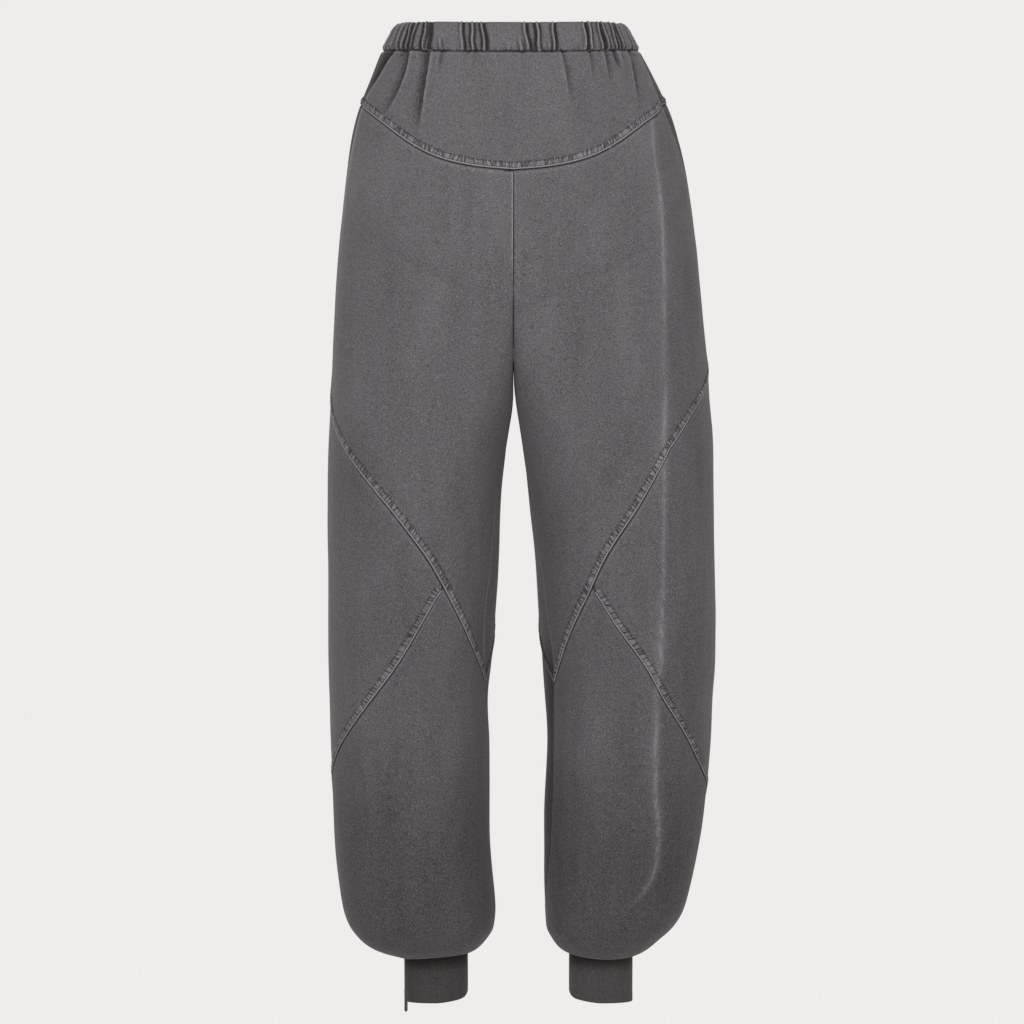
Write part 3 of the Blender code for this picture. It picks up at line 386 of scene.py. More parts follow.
BACK_FOLDS = (
    (-118, -134, 58, 2.4, 5.0, 1, 1.3),
    (-97, -112, 84, 3.6, 7.0, -1, 1.6),
    (-70, -78, 92, 2.8, 6.0, 1, 1.0),
    (-34, -38, 60, 1.8, 5.5, -1, 1.0),
    (-6, -7, 70, 1.6, 6.0, 1, 1.0),
    (29, 33, 58, 2.0, 5.0, 1, 1.0),
    (58, 66, 90, 3.4, 7.5, -1, 1.0),
    (88, 101, 66, 2.8, 5.0, 1, 0.8),
    (113, 128, 80, 2.6, 5.5, -1, 1.4),
)
# Soft creases of the legs: troughs (below 0) and ridges, each from a top to a foot.
CREASE_COLUMNS = ("x_top", "down_top", "x_foot", "down_foot", "height", "half_width")
FRONT_CREASES = {
    "right": (
        (60, 190, 66, 420, -0.8, 12), (120, 170, 132, 400, -0.9, 14), (92, 260, 96, 520, 0.7, 15),
        (150, 210, 158, 460, 0.9, 12), (30, 230, 44, 360, 0.7, 10), (110, 560, 116, 800, -0.8, 13),
        (66, 660, 70, 900, 0.8, 12), (150, 620, 146, 860, 0.8, 12), (132, 700, 120, 905, -1.0, 9),
        (100, 830, 104, 940, 1.1, 8), (122, 870, 116, 945, -1.3, 7), (84, 870, 88, 945, -1.0, 7),
    ),
    "left": (
        (60, 200, 64, 430, -0.8, 13), (112, 190, 118, 430, 0.8, 14), (92, 300, 92, 540, -0.7, 14),
        (176, 190, 184, 380, -0.9, 10), (34, 240, 50, 380, 0.7, 10), (116, 600, 118, 820, -0.7, 13),
        (84, 640, 84, 860, 0.7, 12), (176, 560, 178, 800, -0.8, 12), (128, 800, 120, 925, -1.1, 9),
        (104, 860, 100, 940, 1.2, 8), (88, 860, 92, 945, -1.1, 7), (138, 880, 122, 940, 1.2, 7),
    ),
}
BACK_CREASES = {
    "right": (
        (50, 200, 56, 430, -0.9, 13), (104, 180, 112, 470, 0.9, 15), (140, 240, 150, 520, -0.9, 13),
        (30, 300, 60, 420, -1.4, 10), (90, 560, 92, 840, -0.8, 14), (140, 620, 138, 880, 0.9, 12),
        (60, 640, 64, 900, 0.8, 11), (112, 840, 106, 940, -1.2, 8), (78, 860, 80, 940, 1.2, 7),
    ),
    "left": (
        (56, 210, 60, 440, 0.9, 13), (98, 190, 104, 460, -0.9, 14), (150, 220, 160, 500, 0.9, 14),
        (32, 300, 66, 430, -1.4, 10), (104, 580, 102, 850, 0.8, 13), (156, 600, 152, 860, -0.9, 12),
        (74, 650, 76, 900, -0.8, 11), (120, 840, 112, 940, 1.2, 8), (92, 850, 92, 940, -1.2, 7),
    ),
}
# The turn of the right hip: down and distance from the middle.
TURN_PATH = ((16, 121.5), (35.4, 134.0), (45.8, 141.0), (56, 147.5), (66.6, 152.6), (77, 157.6),
             (125.8, 167.6), (173.7, 174.8), (210, 178.0), (235, 180.0))
RIDGE_HEIGHT = 1.0
RIDGE_REACH = {"inner": 12.0, "outer": 5.0}
# Short puckers right under the waistband: depth and reach downward.
PIT_DEPTH = 2.4
PIT_REACH = (5.0, 14.0)
# Slow waves of the cloth: rates across and down, phase and height.
WAVES = ((0.021, 0.008, 0.6, 0.45), (-0.017, 0.011, 2.1, 0.4), (0.043, 0.013, 4.0, 0.25),
         (0.031, -0.019, 1.2, 0.25), (0.083, 0.021, 5.1, 0.12), (-0.067, 0.027, 3.3, 0.12))
CREASE_SHARE = 0.6
WAVE_SHARE = 0.5


def fold_relief(points, down, folds):
    """Soft folds of the yoke, each a valley with a raised crest beside it, and a painted highlight along
    the crests alone.
    """
    relief, crest_highlight = np.zeros(points.shape[:-1]), np.zeros(points.shape[:-1])
    for row in folds:
        fold = dict(zip(FOLD_COLUMNS, row))
        fall = (down - WAIST_FOOT["side"]) / (fold["down_foot"] - WAIST_FOOT["side"])
        fall = np.clip(fall, 0, 1.2)
        path = fold["x_top"] + (fold["x_foot"] - fold["x_top"]) * fall ** fold["bend"]
        ends = ease(1.7 * (1 - fall))
        width = fold["half_width"] * (0.45 + 0.55 * fall)
        offset = (points[..., 0] - path) * fold["side"]
        valley = np.exp(-(np.maximum(offset, 0) / width) ** 1.5 - (np.minimum(offset, 0) / 1.7) ** 2)
        crest = bell(offset + 2.7, 1.1)
        relief += fold["depth"] * ends * (0.55 * crest - valley)
        # Painted highlight along each crest.
        crest_highlight += min(fold["depth"] / 3.0, 1.0) * ease(1.3 * (1 - fall)) * crest
    outer = np.where(points[..., 0] < 0, SECTION["right_outer"](down), SECTION["left_outer"](down))
    return relief * (1 - 0.8 * ease((np.abs(points[..., 0]) / outer - 0.955) / 0.04)), crest_highlight


def crease_relief(points, down, creases):
    """Soft troughs and ridges of a leg."""
    relief = np.zeros(points.shape[:-1])
    for row in creases:
        crease = dict(zip(CREASE_COLUMNS, row))
        fall = (down - crease["down_top"]) / (crease["down_foot"] - crease["down_top"])
        path = crease["x_top"] + (crease["x_foot"] - crease["x_top"]) * fall
        path = path + 1.8 * np.sin(fall * 5.0 + crease["x_top"])
        ends = ease(fall / 0.35) * ease((1 - fall) / 0.35)
        offset = (np.abs(points[..., 0]) - path) / crease["half_width"]
        relief += crease["height"] * ends * np.exp(-offset * offset)
    return relief


def ridge_relief(points, down):
    """The long crease down the left leg: its height, where it is alive and the distance from it."""
    path = smooth_curve(*zip(*RIDGE_PATH))
    ends = ease((down - RIDGE_PATH[0][0]) / 50) * ease((RIDGE_PATH[-1][0] - down) / 40)
    offset = points[..., 0] - path(down)
    inner, outer = np.minimum(offset, 0) / RIDGE_REACH["inner"], offset.clip(0) / RIDGE_REACH["outer"]
    return RIDGE_HEIGHT * ends * np.exp(-np.abs(inner) ** 1.3 - outer ** 2), ends, offset


def pit_relief(points, down, face):
    """Short puckers where the cloth is gathered into the waistband."""
    gathers = FRONT_GATHERS if face == "front" else BACK_GATHERS
    random = np.random.default_rng(7 if face == "front" else 8)
    relief = np.zeros(points.shape[:-1])
    for row in gathers:
        gather = dict(zip(GATHER_COLUMNS, row))
        for shift in (-2.6, 2.2):
            place = gather["x_foot"] + shift + random.uniform(-1.2, 1.2)
            reach = random.uniform(*PIT_REACH)
            depth = PIT_DEPTH * random.uniform(0.35, 1.0)
            fall = (down - WAIST_FOOT["front"] + 3) / reach
            lean = random.uniform(-1.5, 1.5) + 0.05 * place
            offset = (points[..., 0] - place - lean * fall) / (1.1 + 0.9 * np.clip(fall, 0, 1))
            relief -= depth * fade(fall) * np.exp(-offset * offset)
    return relief


def wave_relief(points):
    """Slow unevenness of hanging cloth."""
    relief = np.zeros(points.shape[:-1])
    girth = points[..., 0] + 0.8 * points[..., 1]
    for across_rate, down_rate, phase, height in WAVES:
        relief += height * np.sin(2 * math.pi * (across_rate * girth * 0.5
                                                 + down_rate * points[..., 2] * 0.5) + phase)
    return relief


def cloth_relief(points, side, face, down):
    """Everything that lifts or sinks the cloth of a panel, apart from its seams."""
    creases = (FRONT_CREASES if face == "front" else BACK_CREASES)[side]
    relief = CREASE_SHARE * crease_relief(points, down, creases) + WAVE_SHARE * wave_relief(points)
    relief = relief * ease((down - 30) / 60) * ease((HEM_END - down) / 30)
    folds = FRONT_FOLDS if face == "front" else BACK_FOLDS
    if np.min(down) < 60:
        relief = relief + fold_relief(points, down, folds)[0] + pit_relief(points, down, face)
    if side == "left" and face == "front":
        relief = relief + ridge_relief(points, down)[0]
    return relief


def turn_shade(points, down):
    """A light line where the right hip turns to the back, partly rubbed and partly painted highlight, and
    painted shade on the cloth beyond it.
    """
    path = smooth_curve(*zip(*TURN_PATH))
    offset = -points[..., 0] - path(np.clip(down, TURN_PATH[0][0], TURN_PATH[-1][0]))
    ends = ease((235 - down) / 60)
    return ends * (0.26 * bell(offset + 0.7, 0.9) - 0.40 * ease(offset / 1.2))


# Painted shade: how much darker the cloth gets down the leg and in the lower leg, where the light falls
# off, and where the back shows from the front, turned from the light: at the hips, and low on the inner
# side of each leg.
LEG_SHADE = 0.085
SHIN_SHADE = 0.14
HIP_SHADE = 0.42
INNER_SHADE = {"right": 0.18, "left": 0.42}


def cloth_shade(points, surface, across, down, relief):
    """How light the cloth is before its edges: painted shade in hollows and painted highlight on raised
    folds.
    """
    # Painted shade down the leg and in the lower leg, where the light falls off.
    shade = 0.5 - LEG_SHADE * ease(down / 800) - SHIN_SHADE * ease((down - 700) / 170)
    # Painted shade in hollows and painted highlight on raised cloth.
    raised = np.clip(relief, -3.8, 2.8)
    calm = 0.45 + 0.55 * ease(np.abs(raised) / 1.8)
    shade = shade + 0.085 * raised * calm * (1 - 0.5 * ease((down - 780) / 80))
    # Painted highlight along the crests of the yoke's folds.
    if np.min(down) < 60:
        folds = FRONT_FOLDS if surface.face == "front" else BACK_FOLDS
        shade += 0.13 * fold_relief(points, down, folds)[1]
    # A light line at the turn of the right hip, partly painted highlight, with painted shade beyond it.
    if surface.side == "right" and surface.face == "front":
        shade += turn_shade(points, down)
    # Painted highlight along the left leg's long crease, with a little painted shade on its outer side.
    if surface.side == "left" and surface.face == "front":
        _, ends, offset = ridge_relief(points, down)
        shade += ends * (0.20 * bell(offset, 1.1) - 0.02 * ease(offset / 6.0)
                         + (0.05 + 0.09 * ease((down - 660) / 90)) * bell(offset, 4.6))
    # Painted shade where the back turns from the light: behind the hips and low between the legs.
    if surface.face == "back":
        near_side = ease((across - 0.72) / 0.26)
        hip = ease((down - 12) / 10) * ease((250 - down) / 110)
        lower = ease((down - 600) / 80) * ease((0.27 - across) / 0.12)
        shade -= HIP_SHADE * near_side * hip + INNER_SHADE[surface.side] * lower
    return shade


# ---------------------------------------------------------------- meshes
INSIDE_SHADE = 0.42
EDGE_STEPS = (0.0, 0.5, 1.1, 1.9, 3.2)


def new_mesh(name, verts, quads, uvs, shade):
    """A mesh from points in millimetres, quads, a UV per point in metres and a shade per point."""
    mesh = bpy.data.meshes.new(name)
    mesh.vertices.add(len(verts))
    mesh.vertices.foreach_set("co", (np.asarray(verts, np.float64) * MM).ravel())
    quads = np.asarray(quads, np.int32)
    mesh.loops.add(quads.size)
    mesh.loops.foreach_set("vertex_index", quads.ravel())
    mesh.polygons.add(len(quads))
    mesh.polygons.foreach_set("loop_start", np.arange(0, quads.size, 4, dtype=np.int32))
    mesh.update(calc_edges=True)
    layer = mesh.uv_layers.new(name="UVMap")
    layer.data.foreach_set("uv", np.asarray(uvs, np.float32)[quads.ravel()].ravel())
    attribute = mesh.attributes.new("shade", "FLOAT", "POINT")
    attribute.data.foreach_set("value", np.asarray(shade, np.float32))
    mesh.polygons.foreach_set("use_smooth", np.ones(len(quads), bool))
    mesh.validate()
    obj = bpy.data.objects.new(name, mesh)
    bpy.context.collection.objects.link(obj)
    return obj


def grid_quads(rows, cols, closed=False):
    """Quads over a grid of points, row by row."""
    row, col = np.meshgrid(np.arange(rows - 1), np.arange(cols if closed else cols - 1), indexing="ij")
    after = (col + 1) % cols
    return np.stack([row * cols + col, row * cols + after, (row + 1) * cols + after,
                     (row + 1) * cols + col], -1).reshape(-1, 4)


def rim_quads(border, offset, closed=True):
    """Quads that join a border of the outer grid to the same border of the inner grid."""
    border = np.asarray(border)
    after = np.roll(border, -1) if closed else border[1:]
    here = border if closed else border[:-1]
    return np.stack([after, here, here + offset, after + offset], -1)


def shell(name, outer, inner, uvs, shade, closed=False):
    """A cloth wall between two grids of points."""
    rows, cols = outer.shape[:2]
    offset = rows * cols
    quads = grid_quads(rows, cols, closed)
    index = np.arange(offset).reshape(rows, cols)
    if closed:
        rims = [rim_quads(index[0], offset), rim_quads(index[-1, ::-1], offset)]
    else:
        loop = np.concatenate([index[0, :-1], index[:-1, -1], index[-1, :0:-1], index[:0:-1, 0]])
        rims = [rim_quads(loop, offset)]
    faces = np.concatenate([quads, quads[:, ::-1] + offset] + rims)
    r, c = rows // 2, cols // 3
    side_a, side_b = outer[r, c + 1] - outer[r, c], outer[r + 1, c] - outer[r, c]
    if np.dot(np.cross(side_a, side_b), outer[r, c] - inner[r, c]) < 0:
        faces = faces[:, ::-1]
    verts = np.concatenate([outer.reshape(-1, 3), inner.reshape(-1, 3)])
    uvs = np.concatenate([uvs.reshape(-1, 2)] * 2)
    shade = np.concatenate([shade.ravel(), np.full(offset, INSIDE_SHADE)])
    return new_mesh(name, verts, faces, uvs, shade)


def open_sheet(name, grid, uvs, shade, closed=False, flip=False):
    """A single layer of cloth over a grid of points, which stands for no node."""
    quads = grid_quads(*grid.shape[:2], closed)
    obj = new_mesh(name, grid.reshape(-1, 3), quads[:, ::-1] if flip else quads,
                   np.stack(np.broadcast_arrays(*uvs), -1).reshape(-1, 2) * MM,
                   np.broadcast_to(shade, grid.shape[:2]).ravel())
    return finish_piece(obj, None, CLOTH)


def spaced(length, spacing, fine):
    """Places from 0 to length with fine steps at both ends."""
    ends = np.asarray(fine, float)
    count = max(int((length - 2 * ends[-1]) / spacing), 1)
    middle = np.linspace(ends[-1], length - ends[-1], count + 1)[1:-1]
    return np.concatenate([ends, middle, length - ends[::-1]])


def edge_roll(distance, depth, width):
    """How far a cut edge turns inward at a seam."""
    return -depth * fade(distance / width)


# The blousing foot of a leg: where it starts, its rows, how far its curve pulls on at both ends
# and its slope where it lands on the cuff.
BOWL_TOP = 940.0
BOWL_STEPS = np.linspace(0, 1, 14)[1:, None, None]
BOWL_PULL = (0.33, 0.35)
BOWL_SLOPE = 0.21
# Where it meets the cuff: level, slope toward the outer side and curve.
HEM_FOOT = {"right": (955.8, 3.0, 0.0), "left": (957.4, 1.75, -3.2)}


def hem_foot(side, turn):
    """The level where the blousing cloth meets the cuff, round the cuff."""
    level, slope, curve = HEM_FOOT[side]
    outward = np.cos(turn)
    return level + slope * outward + curve * outward * outward


def bowl_rows(surface, across):
    """Rows of a lower leg that swing in under the leg, as one rounded bowl, and end on the cuff."""
    side = surface.side
    away = -1 if side == "right" else 1
    start, normal = surface.at(across, BOWL_TOP)
    heading = unit(start - surface.at(across, BOWL_TOP - 3.0)[0])
    low = surface.at(across, HEM_END)[0]
    turn = np.arctan2(low[:, 1] - CUFF_LEVEL, away * (low[:, 0] - CUFF_CENTRE[side]))
    x, y = cuff_ring(side, turn, HEM_CLEARANCE)
    end = np.stack([x, y, -hem_foot(side, turn)], -1)
    span = np.linalg.norm(end - start, axis=-1, keepdims=True)
    landing = (unit((end - start) * (1, 1, 0)) - (0, 0, BOWL_SLOPE)) / math.hypot(1, BOWL_SLOPE)
    first, last = start + heading * span * BOWL_PULL[0], end - landing * span * BOWL_PULL[1]
    t = BOWL_STEPS
    points = ((1 - t) ** 3 * start + 3 * t * (1 - t) ** 2 * first + 3 * t * t * (1 - t) * last
              + t ** 3 * end)
    fall = ((1 - t) ** 2 * (first - start) + 2 * t * (1 - t) * (last - first) + t * t * (end - last))
    out = np.cross(fall, np.gradient(points, axis=1))
    out *= np.sign((out[:1] * normal).sum(-1, keepdims=True))
    return points, unit(out), -points[..., 2]


# Columns: the wall's length between the legs, how many lie over the left leg's long crease, and the
# levels where a leg's and a yoke's are evenly spaced.
WALL_REACH = 37.0
RIDGE_COLUMNS = 30
COLUMN_LEVEL = 560.0
YOKE_COLUMN_LEVEL = 60.0
# How far cloth turns in at a seam, and over what width.
TOP_ROLL = (1.3, 2.2)
YOKE_ROLL = (2.0, 3.4)
FOOT_ROLL = (1.0, 1.6)
SIDE_ROLL = (0.7, 1.0)
# How light the lips beside the centre seams are: partly rubbed, partly painted highlight.
LIP = {("right", "front"): 1.2, ("left", "front"): 0.1, ("right", "back"): 0.8, ("left", "back"): 0.5}


def panel(surface, across, top, foot, spacing, levels=None, top_roll=TOP_ROLL, centre=False):
    """A cloth panel between two seams, given as down values at its columns."""
    top, foot = top + SEAM_GAP / 2, foot - SEAM_GAP / 2
    if levels is None:
        steps = spaced(float(np.max(foot - top)), spacing, EDGE_STEPS)
        down = top + (foot - top) * (steps / steps[-1])[:, None]
        points, normal = surface.at(across, down)
    else:
        main = spaced(levels[0] - float(np.min(top)), spacing, EDGE_STEPS)
        down = top + (levels[0] - top) * (main / main[-1])[:, None]
        lower = np.repeat(levels[1:, None], len(across), 1)
        down = np.concatenate([down, lower])
        points, normal = surface.at(across, down)
        bowl = bowl_rows(surface, across)
        points, normal, down = (np.concatenate(pair) for pair in zip((points, normal, down), bowl))
    form = cloth_relief(points, surface.side, surface.face, down)
    from_top = down - top
    relief = form + edge_roll(from_top, *top_roll)
    shade = cloth_shade(points, surface, across, down, form)
    # Painted shadow under the lip of the seam above, and a light line just below it.
    shade += 0.12 * bell(from_top - 2.8, 1.2) - 0.34 * fade(from_top / 1.5)
    if levels is None:
        relief += edge_roll(foot - down, *FOOT_ROLL)
    else:
        from_foot = down[-1] - down
        # The hem's lip: raised, and lighter, partly rubbed and partly painted highlight.
        relief += 0.35 * bell(from_foot, 0.9)
        shade += 0.40 * bell(from_foot, 0.6)
    width = run_along(points, 1)
    rise = ease((CROTCH + 10 - down) / 20)
    centre_lip = 0.8 + (LIP[surface.side, surface.face] - 0.8) * rise
    edges = [(width[:, -1:] - width, 1.1)] + ([] if centre else [(width, centre_lip)])
    for distance, light in edges:
        lip = bell(distance - 1.0, 0.6)
        relief += edge_roll(distance, *SIDE_ROLL) + 0.3 * lip
        # Lips lighter, partly rubbed and partly painted highlight, and painted shade right at the seam
        # gap.
        shade += 0.42 * light * lip - 0.25 * fade(distance / 0.6)
    # Painted shade in a small tuck under the yoke seam at the right front.
    if surface.side == "right" and surface.face == "front" and not centre:
        tuck = fade((width - 5) / 4) * fade((from_top - 1.0) / 1.8) * rise
        shade -= 0.5 * tuck
        relief -= 0.8 * tuck
    outer = points + normal * relief[..., None]
    inner = points + normal * (np.minimum(relief, 0) - CLOTH_THICKNESS)[..., None]
    uvs = np.stack([width, -down], -1) * MM
    return outer, inner, uvs, np.clip(shade, 0, 1)


def along_columns(surface, down, spacing, low=0.0):
    """Columns of across whose spacing is even on the surface at a level."""
    line = np.linspace(low, 1, 800)
    run = run_along(surface.at(line, down)[0])
    return np.interp(spaced(run[-1], spacing, EDGE_STEPS), run, line)


def columns(surface, spacing):
    """Columns over the wall between the legs and then the face, fine at both edges."""
    wall = spaced(WALL_REACH, spacing, EDGE_STEPS) / WALL_REACH * WALL_SHARE
    wall = wall[wall < WALL_SHARE * 0.93]
    face = along_columns(surface, COLUMN_LEVEL, spacing, WALL_SHARE)
    across = np.concatenate([wall, np.linspace(WALL_SHARE, face[5], 4)[:-1], face[5:]])
    if surface.side == "left" and surface.face == "front":
        path = [surface.across_of(x, down) for down, x in RIDGE_PATH[1:-2]]
        low, high = min(path) - 0.006, max(path) + 0.006
        fine = np.arange(low, high, (high - low) / RIDGE_COLUMNS)
        across = np.concatenate([across[across < low - 0.004], fine, across[across > high + 0.004]])
    return across


# ---------------------------------------------------------------- build the cloth
STITCH_LINES = []
SPACING = 4.2
YOKE_SPACING = 1.6
LEVEL_ROWS = np.concatenate([np.arange(830, 900, SPACING), np.arange(900, 940, 2.6), [940.0]])


def cuff_ring(side, turn, proud=0.0):
    """Points round a cuff, by the turn from its outer side, some way proud of it."""
    away = -1 if side == "right" else 1
    c, s = np.cos(turn), np.sin(turn)
    size = (np.abs(c / (CUFF_HALF_WIDTH + proud)) ** CUFF_ROUNDING
            + np.abs(s / (CUFF_HALF_DEPTH + proud)) ** CUFF_ROUNDING) ** (-1 / CUFF_ROUNDING)
    return CUFF_CENTRE[side] + away * size * c, CUFF_LEVEL + size * s


def cuff_foot(turn):
    """The level of a cuff's foot, which rises on the inner side."""
    inward = np.maximum(-np.cos(turn), 0)
    return CUFF_FOOT - CUFF_INNER_RISE * (inward ** 1.5 + inward ** 14) / 2


def finish_piece(obj, node, material):
    """Dress a piece, let it ride, and let it stand for its node."""
    obj.data.materials.append(material)
    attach(obj, BODY)
    if node:
        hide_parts(node)
    return obj


def cloth_piece(node, grids):
    """A panel's wall, which stands for its node."""
    return finish_piece(shell(node + "_cloth", *grids), node, CLOTH)


def sheet_of(outer):
    """Work out the flat size of a panel's cut, measured over its own outer surface; the result is not
    kept.
    """
    across = np.linalg.norm(np.diff(outer, axis=1), axis=-1)
    down = np.linalg.norm(np.diff(outer, axis=0), axis=-1)
    width = float(across.sum(1).max()) * MM
    length = float(down.sum(0).max()) * MM
    side_a, side_b = outer[1:, :-1] - outer[:-1, :-1], outer[:-1, 1:] - outer[:-1, :-1]
    side_c, side_d = outer[1:, :-1] - outer[1:, 1:], outer[:-1, 1:] - outer[1:, 1:]
    area = (np.linalg.norm(np.cross(side_a, side_b), axis=-1).sum()
            + np.linalg.norm(np.cross(side_c, side_d), axis=-1).sum()) / 2 * MM * MM
    width = max(width, area / length * 1.002)
    area = max(area, 0.31 * width * length)


# ---------------------------------------------------------------- materials
def new_material(name):
    material = bpy.data.materials.new(name)
    material.use_nodes = True
    return material, material.node_tree, material.node_tree.nodes["Principled BSDF"]


def feed(tree, node, inputs):
    """Give a node's inputs plain values, or the outputs that they come from."""
    for key, value in inputs.items():
        if isinstance(value, bpy.types.NodeSocket):
            tree.links.new(value, node.inputs[key])
        else:
            node.inputs[key].default_value = value


def add(tree, kind, inputs=None, **values):
    node = tree.nodes.new(kind)
    for key, value in values.items():
        setattr(node, key, value)
    feed(tree, node, inputs or {})
    return node


def colour_ramp(tree, source, stops):
    """Colours along a ramp, from pairs of a place and a colour."""
    node = add(tree, "ShaderNodeValToRGB", {"Fac": source})
    elements = node.color_ramp.elements
    for end, (place, colour) in ((0, stops[0]), (1, stops[-1])):
        elements[end].position = place
        elements[end].color = (*colour, 1)
    for place, colour in stops[1:-1]:
        elements.new(place).color = (*colour, 1)
    return node.outputs["Color"]


def mottled(tree, place, layers, total=None):
    """Add layers of noise to a value, or to one half.

    Each layer has a scale, an upright stretch, a strength and detail.
    """
    for scale, stretch, size, detail in layers:
        size_each_way = (scale, scale, scale * stretch)
        mapping = add(tree, "ShaderNodeMapping", {"Vector": place, "Scale": size_each_way})
        noise = add(tree, "ShaderNodeTexNoise",
                    {"Vector": mapping.outputs["Vector"], "Scale": 1.0, "Detail": detail})
        base = (0.5 if total is None else 0) - size / 2
        layer = add(tree, "ShaderNodeMath", {0: noise.outputs["Fac"], 1: size, 2: base},
                    operation="MULTIPLY_ADD").outputs[0]
        if total is not None:
            layer = add(tree, "ShaderNodeMath", {0: total, 1: layer}, operation="ADD").outputs[0]
        total = layer
    return total


def fabric(name, tones, roughness, weave, grain, bump, sheen):
    """Cloth whose colour runs from dark to light with the shade that each point carries, which holds
    painted shade and highlight as well as rubbing.
    """
    material, tree, shader = new_material(name)
    where = add(tree, "ShaderNodeTexCoord").outputs
    shade = add(tree, "ShaderNodeAttribute", attribute_name="shade").outputs["Fac"]
    total = mottled(tree, where["Object"], grain, shade)
    tone = colour_ramp(tree, total, [(k / (len(tones) - 1), tone) for k, tone in enumerate(tones)])
    cast = colour_ramp(tree, mottled(tree, where["Object"], CAST_LAYERS), CAST_STOPS)
    tinted = add(tree, "ShaderNodeMix", {"Factor": 1.0, 6: tone, 7: cast},
                 data_type="RGBA", blend_type="MULTIPLY")
    worn = add(tree, "ShaderNodeMapRange",
               {"Value": total, "To Min": min(roughness + 0.05, 1.0), "To Max": roughness - 0.08})
    threads = add(tree, "ShaderNodeTexWave",
                  {"Vector": where["UV"], "Scale": weave, "Distortion": 1.2, "Detail": 1.0},
                  wave_type="BANDS", bands_direction="DIAGONAL")
    fuzz = add(tree, "ShaderNodeTexNoise", {"Vector": where["Object"], "Scale": 1100.0, "Detail": 2.0})
    height = add(tree, "ShaderNodeMath", {0: threads.outputs["Fac"], 1: 0.4, 2: fuzz.outputs["Fac"]},
                 operation="MULTIPLY_ADD")
    relief = add(tree, "ShaderNodeBump",
                 {"Height": height.outputs[0], "Strength": bump, "Distance": 0.0005})
    feed(tree, shader, {"Specular IOR Level": 0.15, "Sheen Weight": sheen, "Sheen Roughness": 0.4,
                        "Base Color": tinted.outputs[2], "Roughness": worn.outputs["Result"],
                        "Normal": relief.outputs["Normal"]})
    return material


def plain(name, colour, roughness, metallic=0.0, grain=900.0, bump=0.2):
    """Thread, tape and metal, with a fine grain."""
    material, tree, shader = new_material(name)
    place = add(tree, "ShaderNodeTexCoord").outputs["Object"]
    noise = add(tree, "ShaderNodeTexNoise",
                {"Vector": place, "Scale": grain, "Detail": 3.0}).outputs["Fac"]
    tone = colour_ramp(tree, noise, [(end, [c * share for c in colour])
                                     for end, share in ((0.0, 0.78), (1.0, 1.22))])
    rough = add(tree, "ShaderNodeMapRange", {"Value": noise, "To Min": max(roughness - 0.08, 0),
                                             "To Max": min(roughness + 0.08, 1)})
    relief = add(tree, "ShaderNodeBump", {"Height": noise, "Strength": bump, "Distance": 0.0002})
    feed(tree, shader, {"Metallic": metallic, "Base Color": tone, "Roughness": rough.outputs["Result"],
                        "Normal": relief.outputs["Normal"]})
    return material


# Layers of unevenness: scale, upright stretch, strength, detail.
CLOTH_GRAIN = ((1400.0, 0.9, 0.92, 0.0), (600.0, 0.35, 0.16, 1.0), (85.0, 0.12, 0.10, 2.0),
               (9.0, 0.5, 0.06, 2.0))
KNIT_GRAIN = ((1500.0, 0.9, 0.70, 0.0), (500.0, 0.5, 0.16, 1.0), (60.0, 0.5, 0.10, 2.0))
CAST_LAYERS = ((110.0, 0.30, 0.36, 1.0), (30.0, 0.3, 0.16, 1.0), (1300.0, 1.0, 0.80, 0.0))
CAST_STOPS = ((0.36, (0.985, 0.995, 1.03)), (0.64, (1.025, 1.0, 0.98)))
# Tones from darkest to lightest, for painted shade and highlight as well as rubbing.
CLOTH_TONES = ((0.024, 0.020, 0.019), (0.070, 0.064, 0.066), (0.128, 0.120, 0.127),
               (0.200, 0.192, 0.200), (0.300, 0.290, 0.298))
KNIT_TONES = ((0.020, 0.019, 0.018), (0.038, 0.037, 0.036), (0.066, 0.064, 0.063),
              (0.100, 0.098, 0.097), (0.150, 0.147, 0.145))
CLOTH = fabric("washed_fleece", CLOTH_TONES, 0.93, 330.0, CLOTH_GRAIN, 0.5, 0.12)
KNIT = fabric("cuff_knit", KNIT_TONES, 0.95, 420.0, KNIT_GRAIN, 0.6, 0.08)
THREAD = plain("sewing_thread", (0.022, 0.018, 0.018), 0.8)
TAPE = plain("zip_tape_weave", (0.036, 0.035, 0.035), 0.85, 0.0, 1500.0, 0.5)
METAL = plain("dark_nickel", (0.065, 0.062, 0.060), 0.38, 1.0, 500.0, 0.08)


# ---------------------------------------------------------------- topstitched seams
STITCH_LENGTH = 1.35
STITCH_PITCH = 2.6
STITCH_ROWS = (1.9, 7.1)
BAND_STEP = 1.1
BAND_PROBE = 0.004
PUCKER_MOST = 1.15
# The band's height, and the steps across it, by the distance from its seam.
SEAM_PROFILE = smooth_curve((0.0, 0.3, 0.9, 1.9, 3.0, 4.6, 6.0, 7.1, 8.3, 9.6),
                            (-0.6, 0.55, 1.05, 0.35, 1.05, 1.3, 0.95, 0.2, 0.2, -0.5))
# How light the lip of a seam's band is: partly rubbing, partly painted highlight.
LIP_RUB_AND_HIGHLIGHT = 0.9
BAND_STEPS = np.array((0.0, 0.15, 0.35, 0.65, 1.0, 1.5, 1.9, 2.4, 3.0, 3.8, 4.6, 5.4, 6.2, 6.7, 7.1,
                       7.6, 8.3, 9.0, 9.6))


def pucker_places(length, seed):
    """Uneven places along a seam where its band is drawn together."""
    random = np.random.default_rng(seed)
    count = int(length / 2.6)
    gaps = random.choice((2.2, 2.9, 3.6, 4.6, 6.2), size=count, p=(0.24, 0.30, 0.26, 0.14, 0.06))
    gaps = gaps * random.uniform(0.85, 1.2, count)
    places = np.cumsum(gaps)
    places = places[places < length]
    return places, random.uniform(0.35, 1.2, len(places)), random.uniform(-0.15, 0.55, len(places))


